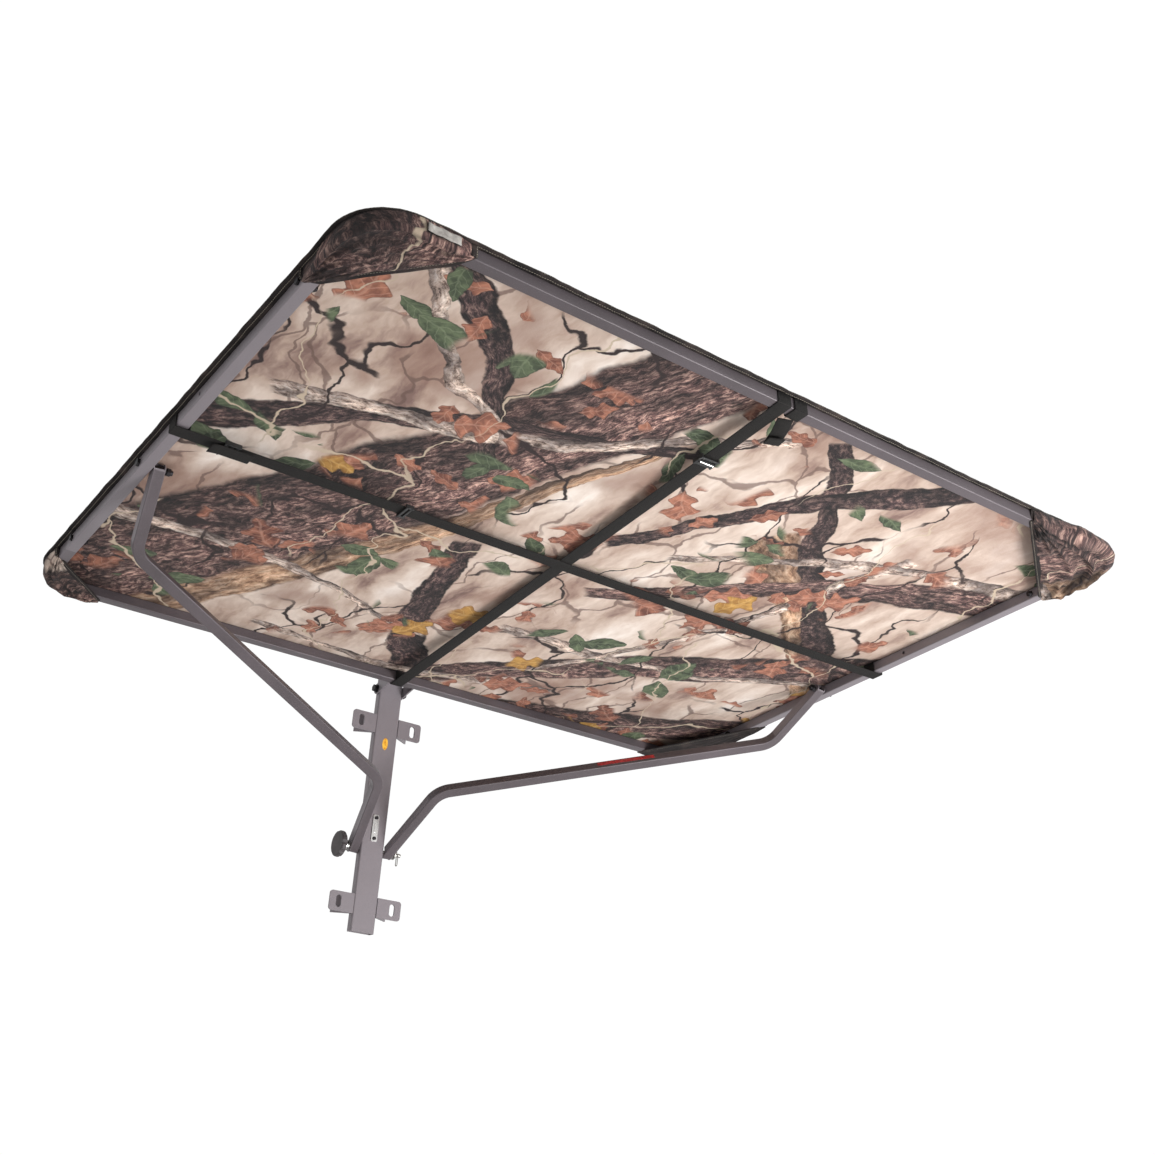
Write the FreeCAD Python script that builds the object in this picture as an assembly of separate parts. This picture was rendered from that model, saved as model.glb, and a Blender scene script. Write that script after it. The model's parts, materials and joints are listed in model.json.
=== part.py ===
"""Tree-stand roof: a rectangular tube frame with a stretched fabric cover, hinged on a short post
that straps to a trunk, and held up by two bent braces.  Lengths are in millimetres.

Part frame: +Z runs up the post, +Y points from the tree towards the roof's front edge, and X is
left-right.  The origin is the centre of the post's rear face, which is the side against the tree.
Shapes of the roof are drawn in a roof frame of their own (origin on the hinge axis, Y along the
roof, Z square to it) and are then tilted into place by in_place().
"""
import FreeCAD, Part
import math
import os

from FreeCAD import Vector

# ---------------------------------------------------------------- driving dimensions
ROOF_WIDTH = 1455.0
ROOF_DEPTH = 1150.0
ROOF_PITCH = 7.0            # degrees, the front edge is the high one
TUBE = 19.0                 # outside size of the square tube
TUBE_WALL = 1.5
TUBE_EDGE = 2.0             # outside radius along the tube's long edges
CORNER_RADIUS = 72.0        # outside radius of the frame's bent corners

POST_WIDTH = 50.0
POST_DEPTH = 17.0
POST_LENGTH = 498.0
POST_WALL = 2.0
POST_TOP = POST_LENGTH / 2
HINGE_Z = POST_TOP - 22.0   # the roof turns about this height
STUD_DROP = 319.0           # from the hinge axis down to the brace stud
AXIS_Y = POST_DEPTH / 2     # hinge axis and stud both cross the middle of the post

HINGE_TO_RAIL = 46.3        # hinge axis to the rear rail's rear face, along the roof
RAIL_BOTTOM = -4.0          # underside of the rails against the hinge axis, square to the roof
RAIL_TOP = RAIL_BOTTOM + TUBE
RAIL_MIDDLE = RAIL_BOTTOM + TUBE / 2
REAR = HINGE_TO_RAIL        # rear and front faces of the frame in the roof frame
FRONT = REAR + ROOF_DEPTH
HALF_WIDTH = ROOF_WIDTH / 2

CORNER_LEG = 150.0          # length of each bent corner piece along the side of the roof
SPIGOT_LENGTH = 50.0        # swaged end that goes inside the side rail
SPIGOT = TUBE - 2 * TUBE_WALL - 0.4   # outside size of that end
JOINT_BOLT = 176.0          # bolts through the spigots, from the front and rear faces
SPARE_HOLE = 676.0          # empty hole through each side rail, from the rear face
SPARE_HOLE_DIAMETER = 6.5
BOLT = 6.0
BOLT_CLEARANCE = 0.2        # on the radius of every hole that a fixed bolt goes through

PIVOT_BOLT = 8.0
HINGE_BOSS = 22.0            # round end of a hinge ear
HINGE_EAR = 3.0              # thickness of a hinge ear
HINGE_EAR_GAP = 0.5          # between an ear and the post
HINGE_HEEL = 12.0            # from the hinge axis to the bend in an ear's lower edge
HINGE_SHOULDER = 22.0        # from the hinge axis to the bend in its upper edge
HINGE_WEB_GAP = 5.0          # between the web of the hinge bracket and the rear rail
RUNNING_CLEARANCE = 0.05    # on the radius, where one body turns on another
BRACE_PIVOT_Y = REAR + 458.0
BRACE_PIVOT_Z = RAIL_MIDDLE - 1.0
BRACE_PIVOT_X = HALF_WIDTH - TUBE - 11.5   # middle of the brace tube at its upper end
BRACE_FOOT_X = 37.5         # middle of the brace tube at the stud
BRACE_UPPER_LEG = 149.0     # from the pivot to the upper bend
BRACE_LOWER_LEG = 165.0     # from the stud to the lower bend
BRACE_LEG_DIRECTION = Vector(0.163, 0.823, 0.544)   # both legs run parallel to this
BRACE_BEND_RADIUS = 45.0
BRACE_TAIL = 12.0           # tube beyond the stud
LABEL_SIZE = (118.0, 9.0, 0.3)
LABEL_SHARE = 0.55          # where the label sits between the lower and the upper bend
STUD = 8.0
STUD_SLOT = 9.4             # width of the open slot by which a brace hooks over the stud
STUD_SLOT_LENGTH = 24.0
STUD_EXIT = Vector(0, -0.40, 0.916)         # the way the stud leaves the slot, in the part frame

BRACKET_REACH = 76.0        # outer edge of an ear from the middle of the post
BRACKET_HEIGHT = 37.0
BRACKET_PLATE = 3.0
UPPER_BRACKET_Z = 154.0
LOWER_BRACKET_Z = -199.0
EAR_SLOT_X = 57.0
EAR_SLOT_WIDTH = 11.0
EAR_SLOT_LENGTH = 23.0
EAR_CORNER = 6.0
JAW_TIP = Vector(58.0, -12.0, 0)     # rear corner of a jaw, which bites a round trunk

STRAP_WIDTH = 25.0
STRAP_THICKNESS = 1.5
STRAP_GAP = 0.4             # strap clear of the rails
SKEWED_STRAP_GAP = 1.1      # the same beside the rails, for the strap that runs at a slant
CROSS_STRAP_Y = REAR + 588.0
LONG_STRAP_REAR_X = 12.0
LONG_STRAP_FRONT_X = 58.0

COVER_THICKNESS = 1.6
COVER_SAG = 12.0
COVER_SEAM = 10.0           # the cover's middle panel meets its hem this far inside the frame
HEM_THICKNESS = 4.0
HEM_OVERHANG_SIDE = 12.0
HEM_OVERHANG_END = 7.0
POCKET_GAP = 0.4
POCKET_CLOTH = 2.0
FRONT_POCKET = (165.0, 185.0)   # along the side and along the end, from the frame's corner
REAR_POCKET = (120.0, 120.0)

LEVEL_PLATE_Z = -51.0
LEVEL_PLATE_SIZE = (13.0, 2.0, 52.0)
LEVEL_SCREW_SPACING = 40.0
STICKER_Z = 117.0
KNOB_DIAMETER = 50.0
KNOB_THICKNESS = 11.0
KNOB_HUB_DIAMETER = 20.0
KNOB_HUB_LENGTH = 9.0
KNOB_LOBES = 8

X_AXIS = Vector(1, 0, 0)
Y_AXIS = Vector(0, 1, 0)
Z_AXIS = Vector(0, 0, 1)
HINGE = Vector(0, AXIS_Y, HINGE_Z)
STUD_Z = HINGE_Z - STUD_DROP


# ---------------------------------------------------------------- placing and drawing helpers
def in_place(shape):
    """Tilt a shape drawn in the roof frame into the part frame."""
    placed = shape.copy()
    placed.rotate(Vector(0, 0, 0), X_AXIS, ROOF_PITCH)
    placed.translate(HINGE)
    return placed


def to_roof_frame(point):
    """Give a point of the part frame in the roof frame."""
    turn = FreeCAD.Rotation(X_AXIS, -ROOF_PITCH)
    return turn.multVec(point - HINGE)


def mirrored(shape):
    """The same shape on the other side of the part."""
    return shape.mirror(Vector(0, 0, 0), X_AXIS)


def box(low, high):
    """Box between two opposite corners."""
    size = Vector(*high) - Vector(*low)
    return Part.makeBox(size.x, size.y, size.z, Vector(*low))


def rod(diameter, start, end):
    """Round bar between two points."""
    along = end - start
    return Part.makeCylinder(diameter / 2, along.Length, start, along)


def hexagon(across_flats, start, along):
    """Hexagonal prism standing on start and reaching along the given vector."""
    corner = across_flats / math.sqrt(3)
    points = []
    for index in range(7):
        angle = math.radians(60 * index)
        points.append(Vector(corner * math.cos(angle), corner * math.sin(angle), 0))
    prism = Part.Face(Part.makePolygon(points)).extrude(Vector(0, 0, along.Length))
    prism.Placement = FreeCAD.Placement(start, FreeCAD.Rotation(Z_AXIS, along))
    return prism


def rounded_rectangle(half_x, low_y, high_y, radius, z=0.0):
    """Flat face with four round corners, centred on X = 0."""
    low = Vector(-half_x, low_y, z)
    high = Vector(half_x, high_y, z)
    straight = [
        (Vector(low.x + radius, low.y, z), Vector(high.x - radius, low.y, z)),
        (Vector(high.x, low.y + radius, z), Vector(high.x, high.y - radius, z)),
        (Vector(high.x - radius, high.y, z), Vector(low.x + radius, high.y, z)),
        (Vector(low.x, high.y - radius, z), Vector(low.x, low.y + radius, z)),
    ]
    centres = [
        Vector(high.x - radius, low.y + radius, z),
        Vector(high.x - radius, high.y - radius, z),
        Vector(low.x + radius, high.y - radius, z),
        Vector(low.x + radius, low.y + radius, z),
    ]
    edges = []
    for index, centre in enumerate(centres):
        edges.append(Part.makeLine(*straight[index]))
        middle_angle = math.radians(-45 + 90 * index)
        middle = centre + Vector(math.cos(middle_angle), math.sin(middle_angle), 0) * radius
        following = straight[(index + 1) % 4]
        edges.append(Part.Arc(straight[index][1], middle, following[0]).toShape())
    return Part.Face(Part.Wire(edges))


def bent_path(points, radius):
    """Centre line through the points, with an arc of the given radius at each inner one."""
    edges = []
    start = points[0]
    for before, corner, after in zip(points, points[1:], points[2:]):
        incoming = (before - corner).normalize()
        outgoing = (after - corner).normalize()
        half_angle = incoming.getAngle(outgoing) / 2
        setback = radius / math.tan(half_angle)
        arc_start = corner + incoming * setback
        arc_end = corner + outgoing * setback
        bisector = (incoming + outgoing).normalize()
        arc_middle = corner + bisector * (radius / math.sin(half_angle) - radius)
        edges.append(Part.makeLine(start, arc_start))
        edges.append(Part.Arc(arc_start, arc_middle, arc_end).toShape())
        start = arc_end
    edges.append(Part.makeLine(start, points[-1]))
    return Part.Wire(edges)


def square_section(size, edge_radius, centre, along, side):
    """Rounded square outline square to a path; side is the direction of one pair of faces."""
    outline = rounded_rectangle(size / 2, -size / 2, size / 2, edge_radius).OuterWire
    across = side.cross(along)
    turn = FreeCAD.Rotation(side, across, along, "ZXY")
    outline.Placement = FreeCAD.Placement(centre, turn)
    return outline


def square_tube(points, bend_radius, side, size=TUBE, wall=TUBE_WALL, edge_radius=TUBE_EDGE):
    """Hollow square tube along a bent centre line."""
    path = bent_path(points, bend_radius)
    along = (points[1] - points[0]).normalize()
    across = side - along * side.dot(along)
    across.normalize()
    outside = square_section(size, edge_radius, points[0], along, across)
    inside_radius = max(edge_radius - wall, 0.4)
    inside = square_section(size - 2 * wall, inside_radius, points[0], along, across)
    skin = path.makePipeShell([outside], True, False)
    bore = path.makePipeShell([inside], True, False)
    return skin.cut(bore)


def through_hole(diameter, x, y, z, length):
    """Cutter along X for a hole centred on a point."""
    return rod(diameter, Vector(x - length / 2, y, z), Vector(x + length / 2, y, z))


def cut_all(shape, cutters):
    """Cut every cutter out of a shape."""
    for cutter in cutters:
        shape = shape.cut(cutter)
    return shape


# ---------------------------------------------------------------- post and what is fixed to it
def post_tube():
    """Flat rectangular post, open at both ends, with bores for the hinge bolt and the stud."""
    half = POST_LENGTH / 2
    outline = rounded_rectangle(POST_WIDTH / 2, 0, POST_DEPTH, 3.0, -half)
    hollow = rounded_rectangle(POST_WIDTH / 2 - POST_WALL, POST_WALL, POST_DEPTH - POST_WALL, 1.2, -half)
    tube = outline.extrude(Z_AXIS * POST_LENGTH).cut(hollow.extrude(Z_AXIS * POST_LENGTH))
    bore = PIVOT_BOLT + 2 * RUNNING_CLEARANCE
    cutters = [through_hole(bore, 0, AXIS_Y, HINGE_Z, 2 * POST_WIDTH),
               through_hole(STUD + 2 * RUNNING_CLEARANCE, 0, AXIS_Y, STUD_Z, 2 * POST_WIDTH)]
    for height in level_screw_heights():
        cutters.append(rod(3.0, Vector(0, POST_DEPTH - POST_WALL - 1, height),
                           Vector(0, POST_DEPTH + 1, height)))
    return cut_all(tube, cutters)


def bracket_half(height):
    """Slotted ear flush with the post's front, and the jaw leg behind it, on the +X side."""
    root = POST_WIDTH / 2
    ear = box((root, POST_DEPTH - BRACKET_PLATE, -BRACKET_HEIGHT / 2),
              (BRACKET_REACH, POST_DEPTH, BRACKET_HEIGHT / 2))
    outer_edges = [edge for edge in ear.Edges
                   if abs(edge.CenterOfMass.x - BRACKET_REACH) < 0.01
                   and abs(abs(edge.CenterOfMass.z) - BRACKET_HEIGHT / 2) < 0.01]
    ear = ear.makeFillet(EAR_CORNER, outer_edges)
    straight = (EAR_SLOT_LENGTH - EAR_SLOT_WIDTH) / 2
    slot = box((EAR_SLOT_X - EAR_SLOT_WIDTH / 2, 0, -straight),
               (EAR_SLOT_X + EAR_SLOT_WIDTH / 2, 2 * POST_DEPTH, straight))
    for end in (-straight, straight):
        slot = slot.fuse(rod(EAR_SLOT_WIDTH, Vector(EAR_SLOT_X, 0, end),
                             Vector(EAR_SLOT_X, 2 * POST_DEPTH, end)))
    bottom = Vector(0, 0, -BRACKET_HEIGHT / 2)
    jaw_outline = Part.makePolygon([
        Vector(root, POST_DEPTH - BRACKET_PLATE, 0) + bottom,
        Vector(root, POST_DEPTH - 2 * BRACKET_PLATE, 0) + bottom,
        JAW_TIP + bottom,
        JAW_TIP + Vector(1.4, 2.6, 0) + bottom,
        Vector(root + 2 * BRACKET_PLATE, POST_DEPTH - BRACKET_PLATE, 0) + bottom,
        Vector(root, POST_DEPTH - BRACKET_PLATE, 0) + bottom])
    jaw = Part.Face(jaw_outline).extrude(Z_AXIS * BRACKET_HEIGHT)
    half = ear.cut(slot).fuse(jaw).removeSplitter()
    half.translate(Z_AXIS * height)
    return half


def tree_bracket(height):
    """Left and right ears with their jaw legs, welded to the post's sides."""
    half = bracket_half(height)
    return Part.makeCompound([half, mirrored(half)])


def level_screw_heights():
    """Heights of the two screws of the level plate."""
    return (LEVEL_PLATE_Z - LEVEL_SCREW_SPACING / 2, LEVEL_PLATE_Z + LEVEL_SCREW_SPACING / 2)


def level_plate():
    """Small bright plate on the post's front face, with a raised rib between two screw holes."""
    width, thickness, length = LEVEL_PLATE_SIZE
    plate = box((-width / 2, POST_DEPTH, LEVEL_PLATE_Z - length / 2),
                (width / 2, POST_DEPTH + thickness, LEVEL_PLATE_Z + length / 2))
    upright = [edge for edge in plate.Edges if abs(edge.tangentAt(0).y) > 0.9]
    plate = plate.makeFillet(2.5, upright)
    rib = box((-2.5, POST_DEPTH, LEVEL_PLATE_Z - 9.0),
              (2.5, POST_DEPTH + thickness + 1.2, LEVEL_PLATE_Z + 9.0))
    rib_ends = [edge for edge in rib.Edges if abs(edge.tangentAt(0).y) > 0.9]
    rib = rib.makeFillet(2.4, rib_ends)
    holes = [rod(3.6, Vector(0, POST_DEPTH - 1, height), Vector(0, POST_DEPTH + 5, height))
             for height in level_screw_heights()]
    return cut_all(plate.fuse(rib), holes)


def level_screws():
    """Two pan-head screws that hold the level plate."""
    surface = POST_DEPTH + LEVEL_PLATE_SIZE[1]
    screws = []
    for height in level_screw_heights():
        head = rod(7.0, Vector(0, surface, height), Vector(0, surface + 2.2, height))
        head = head.makeFillet(0.8, [head.Edges[0]])
        shank = rod(2.8, Vector(0, POST_DEPTH - POST_WALL, height), Vector(0, surface, height))
        recess = box((-2, surface + 1.2, height - 0.5), (2, surface + 3, height + 0.5))
        screws.append(head.fuse(shank).cut(recess))
    return Part.makeCompound(screws)


def post_sticker():
    """Plain oval sticker on the post's front face."""
    oval = Part.Ellipse(Vector(0, 0, 0), 12.0, 6.0)
    face = Part.Face(Part.Wire(oval.toShape()))
    face.rotate(Vector(0, 0, 0), Z_AXIS, 90)
    face.rotate(Vector(0, 0, 0), X_AXIS, 90)
    face.translate(Vector(0, POST_DEPTH + 0.3, STICKER_Z))
    return face.extrude(Y_AXIS * -0.3)


# ---------------------------------------------------------------- knob, stud and pin
def knob():
    """Round grip with shallow finger scallops."""
    start = stud_seat() + 2.0 + KNOB_HUB_LENGTH
    end = start + KNOB_THICKNESS
    centre = Vector(0, AXIS_Y, STUD_Z)
    grip = rod(KNOB_DIAMETER, centre + X_AXIS * start, centre + X_AXIS * end)
    grip = grip.makeFillet(3.5, [edge for edge in grip.Edges if edge.Closed])
    cutters = [rod(STUD + 0.1, centre + X_AXIS * (start - 1), centre + X_AXIS * (start + 4))]
    for index in range(KNOB_LOBES):
        angle = 2 * math.pi * index / KNOB_LOBES
        offset = Vector(0, math.cos(angle), math.sin(angle)) * (KNOB_DIAMETER / 2 + 5.5)
        cutters.append(rod(16.0, centre + offset + X_AXIS * (start - 1),
                           centre + offset + X_AXIS * (end + 1)))
    return cut_all(grip, cutters)


def knob_hub():
    """Bright steel collar between the knob's grip and the brace."""
    start = Vector(stud_seat() + 2.0, AXIS_Y, STUD_Z)
    end = start + X_AXIS * KNOB_HUB_LENGTH
    collar = rod(KNOB_HUB_DIAMETER, start, end)
    collar = collar.makeChamfer(1.0, [edge for edge in collar.Edges if edge.Closed])
    return collar.cut(rod(STUD + 0.1, start - X_AXIS, end + X_AXIS))


def stud_seat():
    """Distance from the middle of the post to the outside of the brace at the stud."""
    return BRACE_FOOT_X + TUBE / 2 + 3.2


def stud():
    """Threaded stud through the braces and the post, with a cross hole for the pin."""
    start = Vector(-stud_seat() - 16.0, AXIS_Y, STUD_Z)
    end = Vector(stud_seat() + 2.0 + KNOB_HUB_LENGTH + 4.0, AXIS_Y, STUD_Z)
    bar = rod(STUD, start, end)
    tip = [edge for edge in bar.Edges
           if edge.Closed and abs(edge.CenterOfMass.x - start.x) < 0.01]
    bar = bar.makeChamfer(1.0, tip)
    hole = rod(pin_wire() + 0.2, Vector(pin_x(), AXIS_Y, STUD_Z - STUD),
               Vector(pin_x(), AXIS_Y, STUD_Z + STUD))
    return bar.cut(hole)


def pin_wire():
    """Diameter of the spring pin's wire."""
    return 2.0


def pin_x():
    """Where the spring pin crosses the stud."""
    return -stud_seat() - 8.0


def stud_washers():
    """Flat washers outside the two braces."""
    washers = []
    for side in (1, -1):
        start = Vector(side * stud_seat(), AXIS_Y, STUD_Z)
        end = start + X_AXIS * (side * 1.6)
        bore = rod(STUD + 0.2, start - X_AXIS * side, end + X_AXIS * side)
        washers.append(rod(20.0, start, end).cut(bore))
    return Part.makeCompound(washers)


def spring_pin():
    """Hairpin: one straight leg through the stud and the other leg in front of it."""
    loop_radius = 3.0
    top = Vector(pin_x(), AXIS_Y, STUD_Z + 7.0)
    loop_start = Vector(pin_x(), AXIS_Y, STUD_Z - 18.0)
    loop_end = loop_start + Y_AXIS * (2 * loop_radius)
    loop_bottom = loop_start + Vector(0, loop_radius, -loop_radius)
    clip_end = Vector(pin_x(), loop_end.y, STUD_Z + 2.0)
    path = Part.Wire([Part.makeLine(top, loop_start),
                      Part.Arc(loop_start, loop_bottom, loop_end).toShape(),
                      Part.makeLine(loop_end, clip_end)])
    profile = Part.Wire(Part.makeCircle(pin_wire() / 2, top, Z_AXIS))
    return path.makePipeShell([profile], True, False)


# ---------------------------------------------------------------- roof hinge
def hinge_bracket():
    """Two ears behind the rear rail, joined by a web, that straddle the top of the post."""
    inner = POST_WIDTH / 2 + HINGE_EAR_GAP
    outline = Part.makePolygon([
        Vector(inner, 0, -HINGE_BOSS / 2), Vector(inner, HINGE_HEEL, 2 - HINGE_BOSS / 2),
        Vector(inner, REAR, RAIL_BOTTOM), Vector(inner, REAR, RAIL_TOP),
        Vector(inner, HINGE_SHOULDER, RAIL_TOP), Vector(inner, 0, HINGE_BOSS / 2),
        Vector(inner, 0, -HINGE_BOSS / 2)])
    ear = Part.Face(outline).extrude(X_AXIS * HINGE_EAR)
    ear = ear.fuse(rod(HINGE_BOSS, Vector(inner, 0, 0), Vector(inner + HINGE_EAR, 0, 0)))
    ear = ear.cut(through_hole(PIVOT_BOLT + 2 * BOLT_CLEARANCE, inner, 0, 0, 20.0))
    ear = ear.removeSplitter()
    web_face = REAR - HINGE_WEB_GAP
    web = box((-inner, web_face - HINGE_EAR, RAIL_BOTTOM + 3.0), (inner, web_face, RAIL_TOP - 1.0))
    return in_place(ear.fuse(mirrored(ear)).fuse(web))


def hinge_bolt():
    """Bolt along the hinge axis; its head is on the +X side."""
    outer = POST_WIDTH / 2 + HINGE_EAR_GAP + HINGE_EAR
    washer = rod(17.0, Vector(outer, 0, 0), Vector(outer + 2.0, 0, 0))
    head = hexagon(13.0, Vector(outer + 2.0, 0, 0), X_AXIS * 5.5)
    shank = rod(PIVOT_BOLT, Vector(-outer - 9.0, 0, 0), Vector(outer + 2.0, 0, 0))
    return in_place(head.fuse(washer).fuse(shank))


def nut(across_flats, bolt_diameter, start, along):
    """Hexagon nut with a rounded collar, bored to clear its bolt."""
    body = hexagon(across_flats, start, along * 0.75)
    collar = rod(across_flats * 0.82, start + along * 0.75, start + along)
    bore = rod(bolt_diameter + 0.1, start - along, start + along * 2)
    return body.fuse(collar).cut(bore)


def hinge_nut():
    """Lock nut on the -X end of the hinge bolt."""
    outer = POST_WIDTH / 2 + HINGE_EAR_GAP + HINGE_EAR
    return in_place(nut(13.0, PIVOT_BOLT, Vector(-outer, 0, 0), X_AXIS * -7.5))


# ---------------------------------------------------------------- roof frame
def joint_bolt_stations():
    """Distances of the frame's joint bolts along the roof."""
    return (REAR + JOINT_BOLT, FRONT - JOINT_BOLT)


def bolt_cutters(diameter, stations):
    """Holes along X through both side rails at the given stations."""
    middle = HALF_WIDTH - TUBE / 2
    return [through_hole(diameter, side * middle, y, RAIL_MIDDLE, 2 * TUBE)
            for side in (1, -1) for y in stations]


def end_rail(face, inward):
    """Rail with a bent corner at each end; its legs end in spigots for the side rails."""
    middle = HALF_WIDTH - TUBE / 2
    line = face + inward * TUBE / 2
    leg_end = face + inward * CORNER_LEG
    points = [Vector(middle, leg_end, RAIL_MIDDLE), Vector(middle, line, RAIL_MIDDLE),
              Vector(-middle, line, RAIL_MIDDLE), Vector(-middle, leg_end, RAIL_MIDDLE)]
    rail = square_tube(points, CORNER_RADIUS - TUBE / 2, X_AXIS)
    for side in (1, -1):
        start = Vector(side * middle, leg_end - inward * 12.0, RAIL_MIDDLE)
        end = Vector(side * middle, leg_end + inward * SPIGOT_LENGTH, RAIL_MIDDLE)
        shoulder = Vector(side * middle, leg_end, RAIL_MIDDLE)
        spigot = square_tube([start, end], 1.0, X_AXIS, SPIGOT, 1.2, 1.0)
        collar = square_tube([start, shoulder], 1.0, X_AXIS, SPIGOT + 0.8, 1.6, 1.0)
        rail = rail.fuse(spigot).fuse(collar)
    hole = BOLT + 2 * BOLT_CLEARANCE
    rail = cut_all(rail, bolt_cutters(hole, [face + inward * JOINT_BOLT]))
    return in_place(rail)


def side_rail(side):
    """Straight rail between the bent corners, with its bolt holes."""
    middle = side * (HALF_WIDTH - TUBE / 2)
    points = [Vector(middle, REAR + CORNER_LEG, RAIL_MIDDLE),
              Vector(middle, FRONT - CORNER_LEG, RAIL_MIDDLE)]
    rail = square_tube(points, 1.0, X_AXIS)
    hole = BOLT + 2 * BOLT_CLEARANCE
    cutters = bolt_cutters(hole, joint_bolt_stations())
    cutters.append(through_hole(SPARE_HOLE_DIAMETER, middle, REAR + SPARE_HOLE,
                                RAIL_MIDDLE, 2 * TUBE))
    cutters.append(through_hole(PIVOT_BOLT + 2 * BOLT_CLEARANCE, middle, BRACE_PIVOT_Y,
                                BRACE_PIVOT_Z, 2 * TUBE))
    return in_place(cut_all(rail, cutters))


def frame_bolts():
    """Four bolts through the frame's joints, heads outside."""
    bolts = []
    for side in (1, -1):
        for y in joint_bolt_stations():
            outside = Vector(side * HALF_WIDTH, y, RAIL_MIDDLE)
            head = hexagon(10.0, outside, X_AXIS * (side * 4.0))
            shank = rod(BOLT, outside, outside - X_AXIS * (side * (TUBE + 7.0)))
            bolts.append(head.fuse(shank))
    return in_place(Part.makeCompound(bolts))


def frame_nuts():
    """Lock nuts of the frame's joint bolts, on the inside."""
    nuts = []
    for side in (1, -1):
        for y in joint_bolt_stations():
            inside = Vector(side * (HALF_WIDTH - TUBE), y, RAIL_MIDDLE)
            nuts.append(nut(10.0, BOLT, inside, X_AXIS * (-side * 5.5)))
    return in_place(Part.makeCompound(nuts))


# ---------------------------------------------------------------- braces
def brace_points():
    """Centre line of the +X brace in the roof frame: pivot, two bends, stud."""
    leg = Vector(BRACE_LEG_DIRECTION)
    leg.normalize()
    pivot = Vector(BRACE_PIVOT_X, BRACE_PIVOT_Y, BRACE_PIVOT_Z)
    foot = to_roof_frame(Vector(BRACE_FOOT_X, AXIS_Y, STUD_Z))
    upper_bend = pivot - leg * BRACE_UPPER_LEG
    lower_bend = foot + leg * BRACE_LOWER_LEG
    return pivot + leg * TUBE, upper_bend, lower_bend, foot - leg * BRACE_TAIL


def brace_plane(points):
    """Unit vector square to the plane in which a brace is bent."""
    normal = (points[0] - points[1]).cross(points[2] - points[1])
    return normal.normalize()


def rounded_tip(tube, centre, along):
    """Round a tube's end about an X axis through centre; along points out of that end."""
    beyond = Part.makeBox(4 * TUBE, 2 * TUBE, 4 * TUBE, Vector(-2 * TUBE, 0, -2 * TUBE))
    beyond.Placement = FreeCAD.Placement(
        centre, FreeCAD.Rotation(Y_AXIS, Vector(0, along.y, along.z)))
    kept = rod(TUBE, centre - X_AXIS * 2 * TUBE, centre + X_AXIS * 2 * TUBE)
    return tube.cut(beyond.cut(kept))


def brace():
    """Brace of the +X side: a tube with two bends, rounded at its pivot and slotted at its foot."""
    points = list(brace_points())
    leg = points[0] - points[1]
    tube = square_tube(points, BRACE_BEND_RADIUS, brace_plane(points).cross(leg))

    pivot = Vector(BRACE_PIVOT_X, BRACE_PIVOT_Y, BRACE_PIVOT_Z)
    leg.normalize()
    tube = rounded_tip(tube, pivot, leg)
    tube = rounded_tip(tube, points[3] + leg * TUBE / 2, leg * -1)
    tube = tube.cut(through_hole(PIVOT_BOLT + 2 * RUNNING_CLEARANCE, pivot.x, pivot.y, pivot.z,
                                 3 * TUBE))

    tube = in_place(tube)
    centre = Vector(BRACE_FOOT_X, AXIS_Y, STUD_Z)
    slot = Part.makeBox(3 * TUBE, STUD_SLOT, STUD_SLOT_LENGTH,
                        Vector(-1.5 * TUBE, -STUD_SLOT / 2, 0))
    exit_turn = FreeCAD.Rotation(Z_AXIS, STUD_EXIT)
    slot.Placement = FreeCAD.Placement(centre, exit_turn)
    slot_end = through_hole(STUD_SLOT, centre.x, centre.y, centre.z, 3 * TUBE)
    return cut_all(tube, [slot, slot_end])


def brace_label():
    """Plain strip on the front face of the -X brace's long run."""
    points = brace_points()
    run = points[1] - points[2]
    centre = points[2] + run * LABEL_SHARE
    run.normalize()
    normal = brace_plane(points)
    facing = normal.cross(run)
    if facing.y < 0:
        facing = facing * -1
    length, width, thickness = LABEL_SIZE
    strip = Part.makeBox(length, width, thickness, Vector(-length / 2, -width / 2, 0))
    strip.Placement = FreeCAD.Placement(
        centre + facing * (TUBE / 2) + normal * 2.0, FreeCAD.Rotation(run, Vector(), facing, "ZXY"))
    return mirrored(in_place(strip))


def brace_bolts():
    """Two bolts on which the braces turn, heads outside the side rails."""
    tip = BRACE_PIVOT_X - TUBE / 2 - 13.0
    bolts = []
    for side in (1, -1):
        outside = Vector(side * HALF_WIDTH, BRACE_PIVOT_Y, BRACE_PIVOT_Z)
        head = hexagon(12.0, outside, X_AXIS * (side * 4.5))
        shank = rod(PIVOT_BOLT, outside, Vector(side * tip, BRACE_PIVOT_Y, BRACE_PIVOT_Z))
        bolts.append(head.fuse(shank))
    return in_place(Part.makeCompound(bolts))


def brace_nuts():
    """Lock nuts inside the braces' upper ends."""
    start = BRACE_PIVOT_X - TUBE / 2 - 3.4
    nuts = []
    for side in (1, -1):
        inside = Vector(side * start, BRACE_PIVOT_Y, BRACE_PIVOT_Z)
        nuts.append(nut(12.0, PIVOT_BOLT, inside, X_AXIS * (-side * 7.0)))
    return in_place(Part.makeCompound(nuts))


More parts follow.
